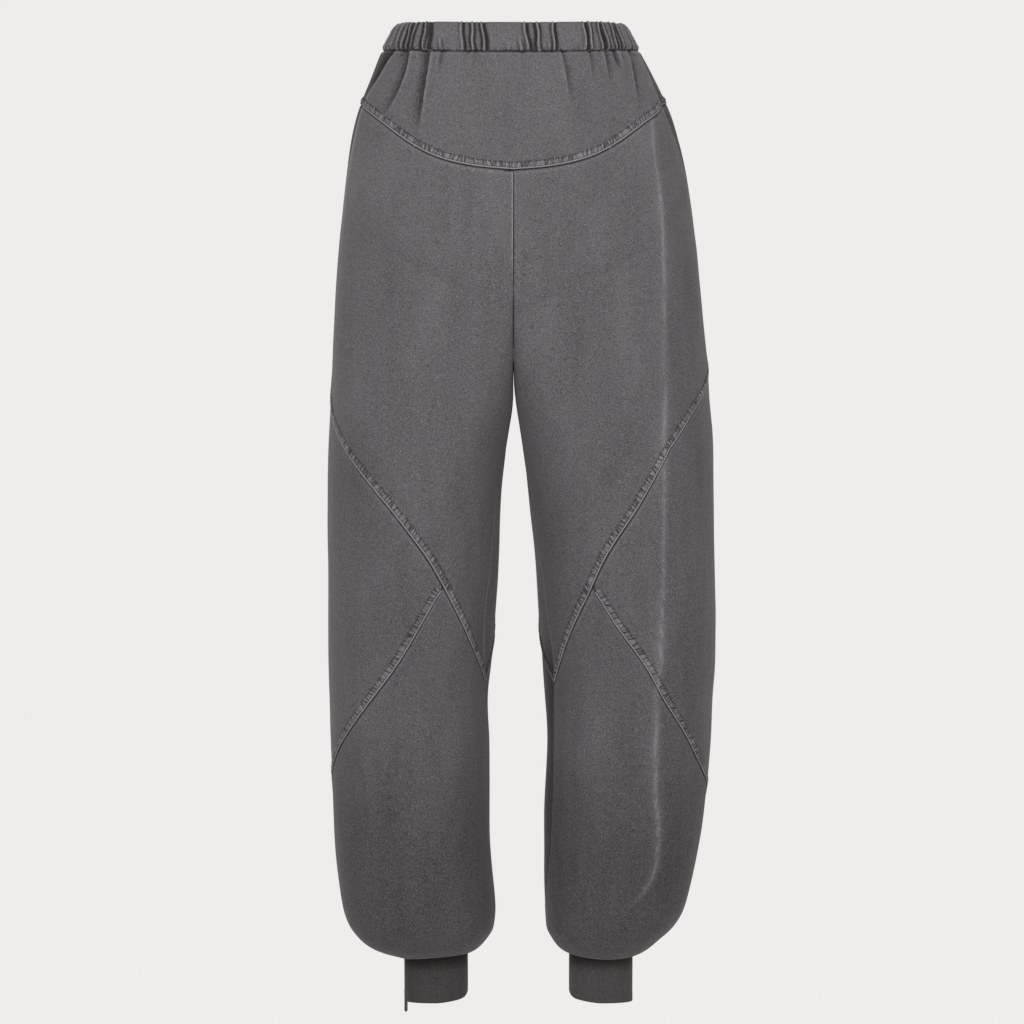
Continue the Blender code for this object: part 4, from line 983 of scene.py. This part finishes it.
def seam_band(name, surface, seam, low, seed):
    """The raised, puckered band above a topstitched seam, and the places of its stitches."""
    line = np.linspace(low, 1, 1200)
    run = run_along(surface.at(line, seam(line))[0])
    count = int(run[-1] / BAND_STEP)
    along = np.linspace(0, run[-1], count + 1)
    across = np.interp(along, run, line)
    down = seam(across)
    here, normal = surface.at(across, down)
    right, left = np.clip(across + BAND_PROBE, 0, 1), np.clip(across - BAND_PROBE, 0, 1)
    over = (surface.at(right, down)[0] - surface.at(left, down)[0]) / (right - left)[:, None]
    fall = (surface.at(across, down + 2)[0] - surface.at(across, down - 2)[0]) / 4
    up = np.cross(normal, unit(np.gradient(here, axis=0)))
    up *= np.where(up[:, 2:] < 0, -1, 1)
    # Solve the step in across and down that moves one millimetre up and square to the seam.
    a, b, c, p, q = ((first * second).sum(1) for first, second in
                     ((over, over), (over, fall), (fall, fall), (over, up), (fall, up)))
    det = np.maximum(a * c - b * b, 1e-9)
    d_across, d_down = (p * c - q * b) / det, (a * q - b * p) / det
    distance = BAND_STEPS[:, None]
    grid_across = np.clip(across + d_across * distance, 0, 1)
    grid_down = down + d_down * distance - SEAM_GAP / 2
    base, out = surface.at(grid_across, grid_down)
    height = np.broadcast_to(SEAM_PROFILE(distance), base.shape[:2]).copy()
    body = ease((distance - 1.6) / 1.2) * ease((8.8 - distance) / 2.4)
    lip = ease((distance - 0.2) / 0.4) * ease((1.9 - distance) / 0.8)
    places, depths, slants = pucker_places(run[-1], seed)
    pucker = np.zeros(base.shape[:2])
    for place, depth, slant in zip(places, depths, slants):
        offset = along - place - slant * (distance - 4.5)
        pucker += depth * bell(offset, 0.65 + 0.5 * abs(slant))
    pucker = np.minimum(pucker, PUCKER_MOST)
    height += body * (0.28 - 1.15 * pucker) - 0.15 * lip * pucker
    height *= 1 - 0.7 * ease((grid_across - 0.89) / 0.08)
    relief = cloth_relief(base, surface.side, surface.face, grid_down)
    outer = base + out * (relief + height)[..., None]
    shade = cloth_shade(base, surface, grid_across, grid_down, relief)
    # The lip is lighter, partly rubbed and partly painted highlight; the puffs carry painted highlight
    # and the puckers painted shade.
    shade += LIP_RUB_AND_HIGHLIGHT * lip * (1 - 0.35 * pucker) + body * (0.30 - 0.80 * pucker)
    shade += 0.10 * bell(distance - STITCH_ROWS[0], 0.5)
    # Painted shade in the puckers by the upper stitch row.
    shade -= 0.42 * bell(distance - STITCH_ROWS[1] - 0.2, 1.1) * (0.15 + pucker)
    # Painted shadow in the seam gap.
    shade = np.clip(shade - 0.3 * fade(distance / 0.3), 0, 1)
    for row in STITCH_ROWS:
        k = int(np.argmin(np.abs(BAND_STEPS - row)))
        STITCH_LINES.append((outer[k], out[k]))
    side_a, side_b = outer[5, 4] - outer[5, 3], outer[6, 3] - outer[5, 3]
    inward = np.dot(np.cross(side_a, side_b), out[5, 3]) < 0
    return open_sheet(name, outer, (along, distance), shade, False, inward)


def stitches(name, lines):
    """Short threads that lie along the given lines, as one mesh."""
    ring = np.array([(math.cos(a), math.sin(a)) for a in np.linspace(0, 2 * math.pi, 6)[:-1]])
    sections = ((-0.5, 0.25), (-0.32, 0.85), (0.0, 1.0), (0.32, 0.85), (0.5, 0.25))
    verts, quads = [], []
    base_quads = grid_quads(len(sections), len(ring), True)
    start = 0
    for points, normal in lines:
        run = run_along(points)
        for place in np.arange(STITCH_PITCH / 2, run[-1] - STITCH_PITCH / 2, STITCH_PITCH):
            ends = np.array([[np.interp(place + d, run, points[:, k]) for k in range(3)]
                             for d in (-0.5 * STITCH_LENGTH, 0.5 * STITCH_LENGTH)])
            up = np.array([np.interp(place, run, normal[:, k]) for k in range(3)])
            centre = ends.mean(0)
            along = ends[1] - ends[0]
            along /= max(np.linalg.norm(along), 1e-9)
            up = up - along * (up @ along)
            up /= max(np.linalg.norm(up), 1e-9)
            across = np.cross(up, along)
            for t, thick in sections:
                spine = centre + along * (t * STITCH_LENGTH) + up * (0.12 - 0.5 * t * t)
                for c, s in ring:
                    verts.append(spine + (across * c * 0.62 + up * s * 0.34) * thick)
            quads.append(base_quads + start)
            start += len(sections) * len(ring)
    verts = np.array(verts)
    obj = new_mesh(name, verts, np.concatenate(quads), np.zeros((len(verts), 2)),
                   np.full(len(verts), 0.5))
    return finish_piece(obj, None, THREAD)


# ---------------------------------------------------------------- waistband
# Pinched folds of the band: x at its top and foot, reach from the foot, height, depth of the
# grooves on the side toward the wearer's right and left.
GATHER_COLUMNS = ("x_top", "x_foot", "reach", "height", "right_groove", "left_groove")
FRONT_GATHERS = (
    (-119, -123, 1, 1.3, 0.8, 0.6), (-114, -119, 1, 1.5, 0.9, 0.8), (-109.5, -113.5, 1, 1.4, 0.7, 0.9),
    (-104.5, -110, 1, 1.6, 0.8, 1.8), (-98.5, -107, 1, 1.6, 1.8, 1.2), (-90.5, -90.5, 1, 1.3, 1.4, 0.4),
    (-85.3, -87.5, 1, 1.8, 0.4, 2.4), (-81.8, -83.4, 1, 1.2, 2.2, 0.0),
    (-75, -72.5, 0.5, 0.9, 0.4, 0.5), (-54.5, -49.5, 1, 1.6, 0.3, 1.2), (-42, -40.5, 1, 1.8, 0.9, 0.9),
    (-32, -28.5, 1, 1.8, 0.9, 1.5), (-6, -4, 0.3, 0.5, 0.2, 0.2), (5, 7.5, 0.5, 1.0, 0.4, 0.5),
    (10.5, 15, 1, 1.6, 0.5, 1.3), (23.5, 26, 1, 1.7, 1.2, 0.7), (35.5, 36, 0.4, 0.8, 0.3, 0.4),
    (39.5, 41, 1, 1.6, 0.6, 1.3), (70.5, 74, 1, 1.4, 0.3, 1.2), (76, 80, 1, 1.8, 0.9, 0.7),
    (85.3, 91, 1, 1.7, 0.6, 1.8), (90, 98, 1, 1.5, 1.3, 0.8), (98.5, 106.5, 1, 1.5, 0.8, 1.6),
    (104.5, 114, 1, 1.5, 1.4, 0.9), (115, 121.5, 1, 1.4, 0.9, 1.0),
)
BACK_GATHERS = (
    (-117, -119, 1, 1.5, 0.8, 1.0), (-111, -112, 1, 1.3, 1.2, 0.6), (-102, -105, 1, 1.7, 0.6, 1.5),
    (-94, -97, 0.6, 1.0, 0.4, 0.6), (-86, -90, 1, 1.7, 1.5, 0.6), (-79, -80, 1, 1.4, 0.6, 1.2),
    (-66, -64, 1, 1.7, 0.4, 1.4), (-58, -57, 1, 1.3, 1.4, 0.4), (-47, -49, 0.5, 0.9, 0.4, 0.4),
    (-36, -35, 1, 1.6, 1.2, 0.5), (-25, -26, 1, 1.6, 0.5, 1.4), (-10, -8, 1, 1.4, 0.6, 1.0),
    (-4, -2, 1, 1.6, 1.3, 0.5), (13, 12, 1, 1.6, 0.5, 1.2), (20, 21, 1, 1.3, 1.2, 0.4),
    (34, 36, 0.5, 0.9, 0.4, 0.4), (45, 44, 1, 1.6, 0.6, 1.4), (52, 54, 1, 1.5, 1.2, 0.5),
    (66, 68, 1, 1.7, 0.5, 1.4), (76, 79, 0.6, 1.0, 0.5, 0.5), (87, 91, 1, 1.6, 1.4, 0.6),
    (97, 100, 1, 1.5, 0.6, 1.3), (104, 108, 1, 1.4, 1.2, 0.6), (114, 117, 1, 1.5, 0.6, 1.1),
)
# Folds round the turn of each side, as parts of a quarter of the band.
SIDE_GATHERS = ((0.80, 0.81, 1.0, 1.4, 0.8, 1.2), (0.86, 0.85, 1.0, 1.6, 1.2, 0.8),
                (0.91, 0.925, 1.0, 1.4, 0.7, 1.2), (0.965, 0.96, 1.0, 1.6, 1.0, 1.0))
BAND_QUARTER = 185.0
BAND_THICKNESS = 3.2
BAND_DETAIL = 0.85
BAND_SWELL = 0.9
BAND_TUCK = 2.1
# How far the top edge rounds over, the most that a fold leans and how far the edge stands up.
CROWN = {"front": 3.0, "side": 8.0}
LEAN_MOST = 0.035
BAND_LIFT = 1.1


def band_relief(place, fall, crests):
    """Height of the band's face. place is the part of a quarter, fall runs 0 to 1 down the band."""
    relief = np.zeros(np.broadcast(place, fall).shape)
    for top, foot, reach, height, groove_in, groove_out in crests:
        wander = 0.003 * np.sin(7 * fall + 40 * top)
        offset = (place - (top + (foot - top) * fall + wander)) * BAND_QUARTER
        alive = ease((fall - (1 - reach)) / 0.25 + (1 if reach >= 1 else 0))
        alive = alive * (1 - 0.25 * ease((fall - 0.86) / 0.14))
        ridge = height * bell(offset, 0.9)
        hollow = (groove_in * bell(offset + 2.4, 1.1 + 0.5 * groove_in)
                  + groove_out * bell(offset - 2.4, 1.1 + 0.5 * groove_out)) * 1.4
        relief += alive * (ridge - hollow)
    return np.clip(relief, -2.0, 2.2)


def build_waistband():
    """The gathered band as one ring, rounded over its top edge and tucked in at its seam."""
    detail = BAND_DETAIL
    outer_parts, inner_parts, shade_parts, uv_parts = [], [], [], []
    quarters = (("left", "front", FRONT_GATHERS, 1), ("left", "back", BACK_GATHERS, -1),
                ("right", "back", BACK_GATHERS, 1), ("right", "front", FRONT_GATHERS, -1))
    fall = np.concatenate([[0, 0.012, 0.035, 0.07, 0.12], np.linspace(0.16, 0.86, 18),
                           [0.9, 0.93, 0.955, 0.98, 1.0]])[:, None]
    girth = 0.0
    for side, face, gathers, way in quarters:
        surface = BAND_SURFACE[side, face]
        sign = 1 if side == "left" else -1
        line = np.linspace(0, 1, 401)
        crests = []
        for row in gathers:
            if sign * row[0] <= 0:
                continue
            gather = dict(zip(GATHER_COLUMNS, row))
            reach = [np.maximum.accumulate(np.abs(surface.at(line, level)[0][:, 0]))
                     for level in (-10.0, 18.0)]
            top = float(np.interp(abs(gather["x_top"]), reach[0], line))
            foot = float(np.interp(abs(gather["x_foot"]), reach[1], line))
            middle, lean = (top + foot) / 2, np.clip(foot - top, -LEAN_MOST, LEAN_MOST)
            top, foot = middle - lean / 2, middle + lean / 2
            grooves = (gather["right_groove"], gather["left_groove"])[::sign]
            crests.append((top, foot, gather["reach"], gather["height"], *grooves))
        covered = max(c[0] for c in crests)
        crests += [row for row in SIDE_GATHERS if row[0] > covered + 0.025]
        place = np.linspace(0, 1, int(BAND_QUARTER / detail) + 1)
        if way < 0:
            place = place[::-1]
        place = place[None, :-1]
        top = waist_level(WAIST_TOP, surface, place[0])
        foot = waist_level(WAIST_FOOT, surface, place[0]) - SEAM_GAP / 2
        down = top + (foot - top) * fall
        points, normal = surface.at(place, down)
        relief = band_relief(place, fall, crests)
        height = (foot - top) * fall
        from_foot = (foot - top) * (1 - fall)
        along = girth + np.arange(place.shape[1]) * BAND_QUARTER / place.shape[1]
        bend = CROWN["front"] + (CROWN["side"] - CROWN["front"]) * ease((place - 0.45) / 0.35)
        crown = bend * (1 - np.sqrt(np.maximum(1 - (1 - np.minimum(height / bend, 1)) ** 2, 0)))
        tuck = BAND_TUCK * fade(from_foot / 3.0) ** 1.5
        swell = BAND_SWELL * np.sin(np.pi * np.clip(fall, 0, 1)) ** 0.8
        tack = np.zeros(relief.shape)
        for spot, depth, slant in zip(*pucker_places(BAND_QUARTER, len(outer_parts) + 3)):
            offset = along - girth - spot - slant * 0.5 * from_foot
            tack += depth * bell(offset, 0.9) * fade((from_foot - 0.6) / 4.0)
        tack = np.minimum(tack, 1.2)
        sway = 0.5 * np.sin(along * 0.19) + 0.35 * np.sin(along * 0.41 + 1.0)
        lift = relief * ease(height / 1.2) + swell - crown - tuck - 0.55 * tack
        outer = points + normal * lift[..., None]
        rise = (BAND_LIFT + relief.clip(-0.5, 1.3) * 0.55) * fade(height / 6.0)
        outer[..., 2] += rise
        outer[..., 2] += (sway + 0.5 * tack) * fade(from_foot / 5.0) * 0.8
        depth = np.maximum(BAND_THICKNESS * (1 - 0.5 * bell(height, 1.2)), crown + 0.3)
        inner = points - normal * depth[..., None]
        inner[..., 2] += rise
        # Painted shade in the grooves and painted highlight on the gathers' ridges; a light lip at the
        # foot, partly painted highlight, painted shade in the tacks and painted shadow at the band's
        # foot.
        shade = 0.53 + 0.42 * relief.clip(-1.6, 1.3) * (1 - 0.2 * (relief > 0))
        shade += 0.20 * bell(from_foot - 1.4, 0.7) - 0.36 * tack
        shade -= 0.34 * fade(from_foot / 0.9)
        girth += BAND_QUARTER
        outer_parts.append(outer)
        inner_parts.append(inner)
        shade_parts.append(shade)
        uv_parts.append(np.stack([np.broadcast_to(along, down.shape), -down], -1) * MM)
    outer, inner = np.concatenate(outer_parts, 1), np.concatenate(inner_parts, 1)
    obj = shell("waistband_cloth", outer, inner, np.concatenate(uv_parts, 1),
                np.clip(np.concatenate(shade_parts, 1), 0, 1), True)
    finish_piece(obj, "waistband", CLOTH)


build_waistband()


# ---------------------------------------------------------------- yokes
def build_yoke(face, seed):
    """A yoke from side seam to side seam, with the band of its seam."""
    parts = []
    for side in SIDES:
        surface = YOKE_SURFACE[side, face]
        across = along_columns(surface, YOKE_COLUMN_LEVEL, YOKE_SPACING)
        across = np.concatenate([[0.0], across[across > across[4]]])
        top = waist_level(WAIST_FOOT, surface, across)
        foot = SEAM[side, face + "_yoke"](across)
        grids = panel(surface, across, top, foot, YOKE_SPACING, None, YOKE_ROLL, True)
        if side == "right":
            outer, inner, uvs, shade = (grid[:, :0:-1] for grid in grids)
            grids = outer, inner, uvs * (-1, 1), shade
        parts.append(grids)
    outer, inner, uvs, shade = (np.concatenate(pair, 1) for pair in zip(*parts))
    middle = parts[0][0].shape[1]
    for grid in (outer, inner):
        grid[:, middle, :] = (grid[:, middle - 2] + grid[:, middle + 2]) / 2
        grid[:, middle - 1] = (grid[:, middle - 2] + grid[:, middle]) / 2
        grid[:, middle + 1] = (grid[:, middle + 2] + grid[:, middle]) / 2
    obj = cloth_piece("yoke_" + face, (outer, inner, uvs, shade))
    bands = [seam_band(f"yoke_{face}_seam_{side}", YOKE_SURFACE[side, face],
                       SEAM[side, face + "_yoke"], 0.0, seed + k)
             for k, side in enumerate(SIDES)]
    sheet_of(outer)


build_yoke("front", 11)
build_yoke("back", 21)


# ---------------------------------------------------------------- legs
HEM_TURN = 1.2


def build_leg(side, seed):
    """A leg's panels and the bands of its seams. The front is parted by a wedge at the outer knee."""
    for face in FACES:
        surface = SURFACE[side, face]
        across = columns(surface, SPACING)
        top = SEAM[side, face + "_yoke"](across)
        knee = SEAM[side, face + "_knee"](across)
        grids = panel(surface, across, top, knee, SPACING)
        obj = cloth_piece(f"{side}_{face}_thigh", grids)
        band = seam_band(f"{side}_{face}_knee_seam", surface, SEAM[side, face + "_knee"], 0.0,
                         seed + FACES.index(face))
        sheet_of(grids[0])
        if face == "front":
            start = JUNCTION[side]
            outside = across[across > start]
            across = np.concatenate([across[across < start], [start], outside])
            knee = SEAM[side, "front_knee"](across)
            calf = SEAM[side, "calf"](across)
            shin_top = np.where(across > start, np.maximum(calf, knee + 0.5), knee)
            wedge = np.concatenate([[start + 0.003], outside[outside > start + 0.006]])
            wedge_top = SEAM[side, "front_knee"](wedge)
            wedge_foot = np.maximum(SEAM[side, "calf"](wedge), wedge_top + 2.2)
            grids = panel(surface, wedge, wedge_top, wedge_foot, SPACING)
            obj = cloth_piece(f"{side}_knee_side", grids)
            band = seam_band(f"{side}_calf_seam", surface, SEAM[side, "calf"], start + 0.004, seed + 2)
            sheet_of(grids[0])
        else:
            shin_top = SEAM[side, "back_knee"](across)
        outer, inner, uvs, shade = panel(surface, across, shin_top, np.full(len(across), HEM_END),
                                         SPACING, LEVEL_ROWS)
        inner[-4:] = outer[-4:] + (0, 0, CLOTH_THICKNESS)
        under = outer[-1] + (0, 0, HEM_TURN)
        outer = np.concatenate([outer, under[None]])
        inner = np.concatenate([inner, (under + (0, 0, CLOTH_THICKNESS))[None]])
        uvs = np.concatenate([uvs, uvs[-1:] - (0, 0.002)])
        # Painted shade on the row turned under the hem.
        shade = np.clip(np.concatenate([shade, shade[-1:] - 0.3]), 0, 1)
        obj = cloth_piece(f"{side}_{face}_shin", (outer, inner, uvs, shade))
        sheet_of(outer)


# Turned-in edges behind the seams: steps across them, depth behind the cloth, the levels that they
# run between, and the waist's.
ALLOWANCE_REACH = (-7.0, -2.5, -0.6, 0.6, 2.5, 7.0)
ALLOWANCE_DEPTH = 0.5
# Painted shade: the turned-in edges are coloured dark as shade seen through the seam gaps.
ALLOWANCE_SHADE = 0.10
ALLOWANCE_SPANS = {"centre_front": (150.0, 306.0), "centre_back": (121.0, 306.0),
                   "inseam": (316.0, 950.0), "side": (20.0, 944.0)}
WAIST_ALLOWANCE_STEPS = (-4.0, -1.5, 1.0, 3.5, 6.0)
WAIST_ALLOWANCE_DEPTH = 4.6
# Painted shade: the waist seam's turned-in edges are coloured dark as shade seen through its gap.
WAIST_ALLOWANCE_SHADE = 0.15


def allowance(name, first, second, end, top, foot):
    """The seam's turned-in edges behind the gap between two panels, as one narrow strip."""
    down = np.arange(top, foot, 4.0)
    rows = []
    for reach in ALLOWANCE_REACH:
        surface = first if reach < 0 else second
        length = np.interp(down, Surface.levels, surface.length)
        across = abs(reach) / length
        points, normal = surface.at(across if end == 0 else 1 - across, down)
        rows.append(points - normal * (CLOTH_THICKNESS + ALLOWANCE_DEPTH))
    grid = np.stack(rows, 1)
    open_sheet(name, grid, (np.array(ALLOWANCE_REACH), -down[:, None]), ALLOWANCE_SHADE)


def waist_allowance():
    """The turned-in edges of the waist seam, as one ring behind its gap."""
    grids = []
    for side, face, way in (("left", "front", 1), ("left", "back", -1),
                            ("right", "back", 1), ("right", "front", -1)):
        surface = BAND_SURFACE[side, face]
        across = np.linspace(0, 1, 61)[::way][:-1]
        level = waist_level(WAIST_FOOT, surface, across) + np.array(WAIST_ALLOWANCE_STEPS)[:, None]
        points, normal = surface.at(across, level)
        grids.append(points - normal * WAIST_ALLOWANCE_DEPTH)
    grid = np.concatenate(grids, 1)
    girth = np.arange(grid.shape[1]) * 4 * BAND_QUARTER / grid.shape[1]
    height = np.arange(len(grid))[:, None] * 2.5
    open_sheet("waist_allowance", grid, (girth, height), WAIST_ALLOWANCE_SHADE, True)


build_leg("right", 31)
build_leg("left", 41)
for face in FACES:
    allowance(f"centre_{face}_allowance", SURFACE["right", face], SURFACE["left", face], 0,
              *ALLOWANCE_SPANS["centre_" + face])
for side in SIDES:
    pair = SURFACE[side, "front"], SURFACE[side, "back"]
    for end, seam in enumerate(("inseam", "side")):
        allowance(f"{side}_{seam}_allowance", *pair, end, *ALLOWANCE_SPANS[seam])
waist_allowance()
stitches("topstitching", STITCH_LINES)


# ---------------------------------------------------------------- cuffs and zips
CUFF_TONE = {"right": 0.42, "left": 0.51}
CUFF_FOLD = 1.1


def build_cuff(side):
    """A closely knitted tube with a folded foot, open at its zip."""
    half_slit = (ZIP_TAPE_WIDTH / 2 + SEAM_GAP) / CUFF_HALF_WIDTH
    start = math.radians(ZIP_TURN[side]) + half_slit
    end = start + 2 * math.pi - 2 * half_slit
    turns = start + (end - start) * spaced(200.0, 1.3, (0, 0.4, 0.9, 1.6)) / 200.0
    foot = cuff_foot(turns)
    steps = np.concatenate([np.linspace(0, 1, 34)[:-1], [0.985, 0.993, 0.998, 1.0]])[:, None]
    down = CUFF_TOP + (foot - CUFF_TOP) * steps
    from_foot = foot - down
    around = np.minimum(turns - start, end - turns) * CUFF_HALF_WIDTH
    turned = 1 - np.minimum(from_foot, CUFF_FOLD) / CUFF_FOLD
    fold = CUFF_FOLD * (1 - np.sqrt(np.maximum(1 - turned ** 2, 0)))
    seam = 0.35 * bell(around - 2.2, 0.7) - 0.6 * fade(around)
    waves = 0.25 * np.sin(5 * turns + 0.01 * down) + 0.18 * np.sin(9 * turns - 0.02 * down + 1)
    waves = waves * ease(from_foot / 20)
    grids = []
    for proud in (seam - fold - 0.3 + waves, fold * 0.8 - 2.3 + waves):
        x, y = cuff_ring(side, np.broadcast_to(turns, down.shape), np.broadcast_to(proud, down.shape))
        grids.append(np.stack([x, y, -down], -1))
    uvs = np.stack([np.broadcast_to(turns * CUFF_HALF_WIDTH, down.shape), -down], -1) * MM
    # Painted shadow at the cuff's top under the hem, painted shade along its foot and at its opening, and
    # a lighter strip beside the opening.
    shade = CUFF_TONE[side] - 0.42 * fade((down - CUFF_TOP - 9) / 17)
    shade = shade - 0.12 * ease((2 - from_foot) / 2) + 0.10 * bell(around - 7, 3) - 0.2 * fade(around / 2)
    obj = shell(side + "_cuff_cloth", grids[0], grids[1], uvs, np.clip(shade, 0, 1))
    finish_piece(obj, side + "_cuff", KNIT)


build_cuff("right")
build_cuff("left")
for side in SIDES:
    for node, material in ((side + "_zip", TAPE), (side + "_zip_slider", METAL),
                           (side + "_zip_pull", METAL)):
        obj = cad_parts[node]
        obj.data.materials.clear()
        obj.data.materials.append(material)


# ---------------------------------------------------------------- stage, light and camera
# The floor's level, the wall's place, the radius of the sweep between them, and their ends.
STAGE = {"floor": -2.4, "wall": 9.0, "radius": 2.4, "half_width": 23.0, "front": -9.0, "top": 20.0}
PAPER = {"Base Color": (0.02, 0.02, 0.02, 1), "Roughness": 0.9,
         "Emission Color": (0.8632, 0.8550, 0.8388, 1), "Emission Strength": 0.965}


def build_stage():
    """A pale floor that sweeps up into a pale wall."""
    floor, wall, radius, half = (STAGE[key] for key in ("floor", "wall", "radius", "half_width"))
    profile = [(STAGE["front"], floor), (wall - radius, floor)]
    profile += [(wall - radius + radius * math.sin(a), floor + radius * (1 - math.cos(a)))
                for a in np.linspace(0, math.pi / 2, 14)[1:]]
    profile.append((wall, STAGE["top"]))
    verts = [(x, y, z) for y, z in profile for x in (-half, half)]
    faces = [(2 * k, 2 * k + 1, 2 * k + 3, 2 * k + 2) for k in range(len(profile) - 1)]
    mesh = bpy.data.meshes.new("studio_floor")
    mesh.from_pydata(verts, [], faces)
    mesh.polygons.foreach_set("use_smooth", [True] * len(faces))
    material, tree, shader = new_material("pale_paper")
    feed(tree, shader, PAPER)
    mesh.materials.append(material)
    obj = bpy.data.objects.new("studio_floor", mesh)
    bpy.context.collection.objects.link(obj)


def area_light(name, place, target, size, energy):
    data = bpy.data.lights.new(name, "AREA")
    data.shape = "RECTANGLE"
    data.size, data.size_y = size
    data.energy = energy
    obj = bpy.data.objects.new(name, data)
    obj.location = place
    direction = np.array(target) - np.array(place)
    yaw = math.atan2(direction[0], -direction[1])
    pitch = math.atan2(np.hypot(direction[0], direction[1]), -direction[2])
    obj.rotation_euler = (pitch, 0, yaw + math.pi)
    bpy.context.collection.objects.link(obj)


build_stage()
area_light("key", (-1.0, -2.7, 1.5), (0, 0, -0.3), (1.8, 1.8), 54)
area_light("fill", (1.6, -3.0, 0.9), (0, 0, -0.4), (2.0, 2.0), 33)

world = bpy.data.worlds.new("soft_room")
bpy.context.scene.world = world
world.use_nodes = True
feed(world.node_tree, world.node_tree.nodes["Background"],
     {"Color": (1, 0.995, 0.985, 1), "Strength": 0.30})
bpy.context.scene.view_settings.view_transform = "Standard"

camera_data = bpy.data.cameras.new("camera")
camera = bpy.data.objects.new("camera", camera_data)
camera_data.sensor_width = 36.0
camera_data.lens = 169.0
camera_data.clip_end = 50.0
camera.location = (-0.00156, -5.0, -0.495)
camera.rotation_euler = (math.pi / 2, 0, 0)
bpy.context.collection.objects.link(camera)
bpy.context.scene.camera = camera
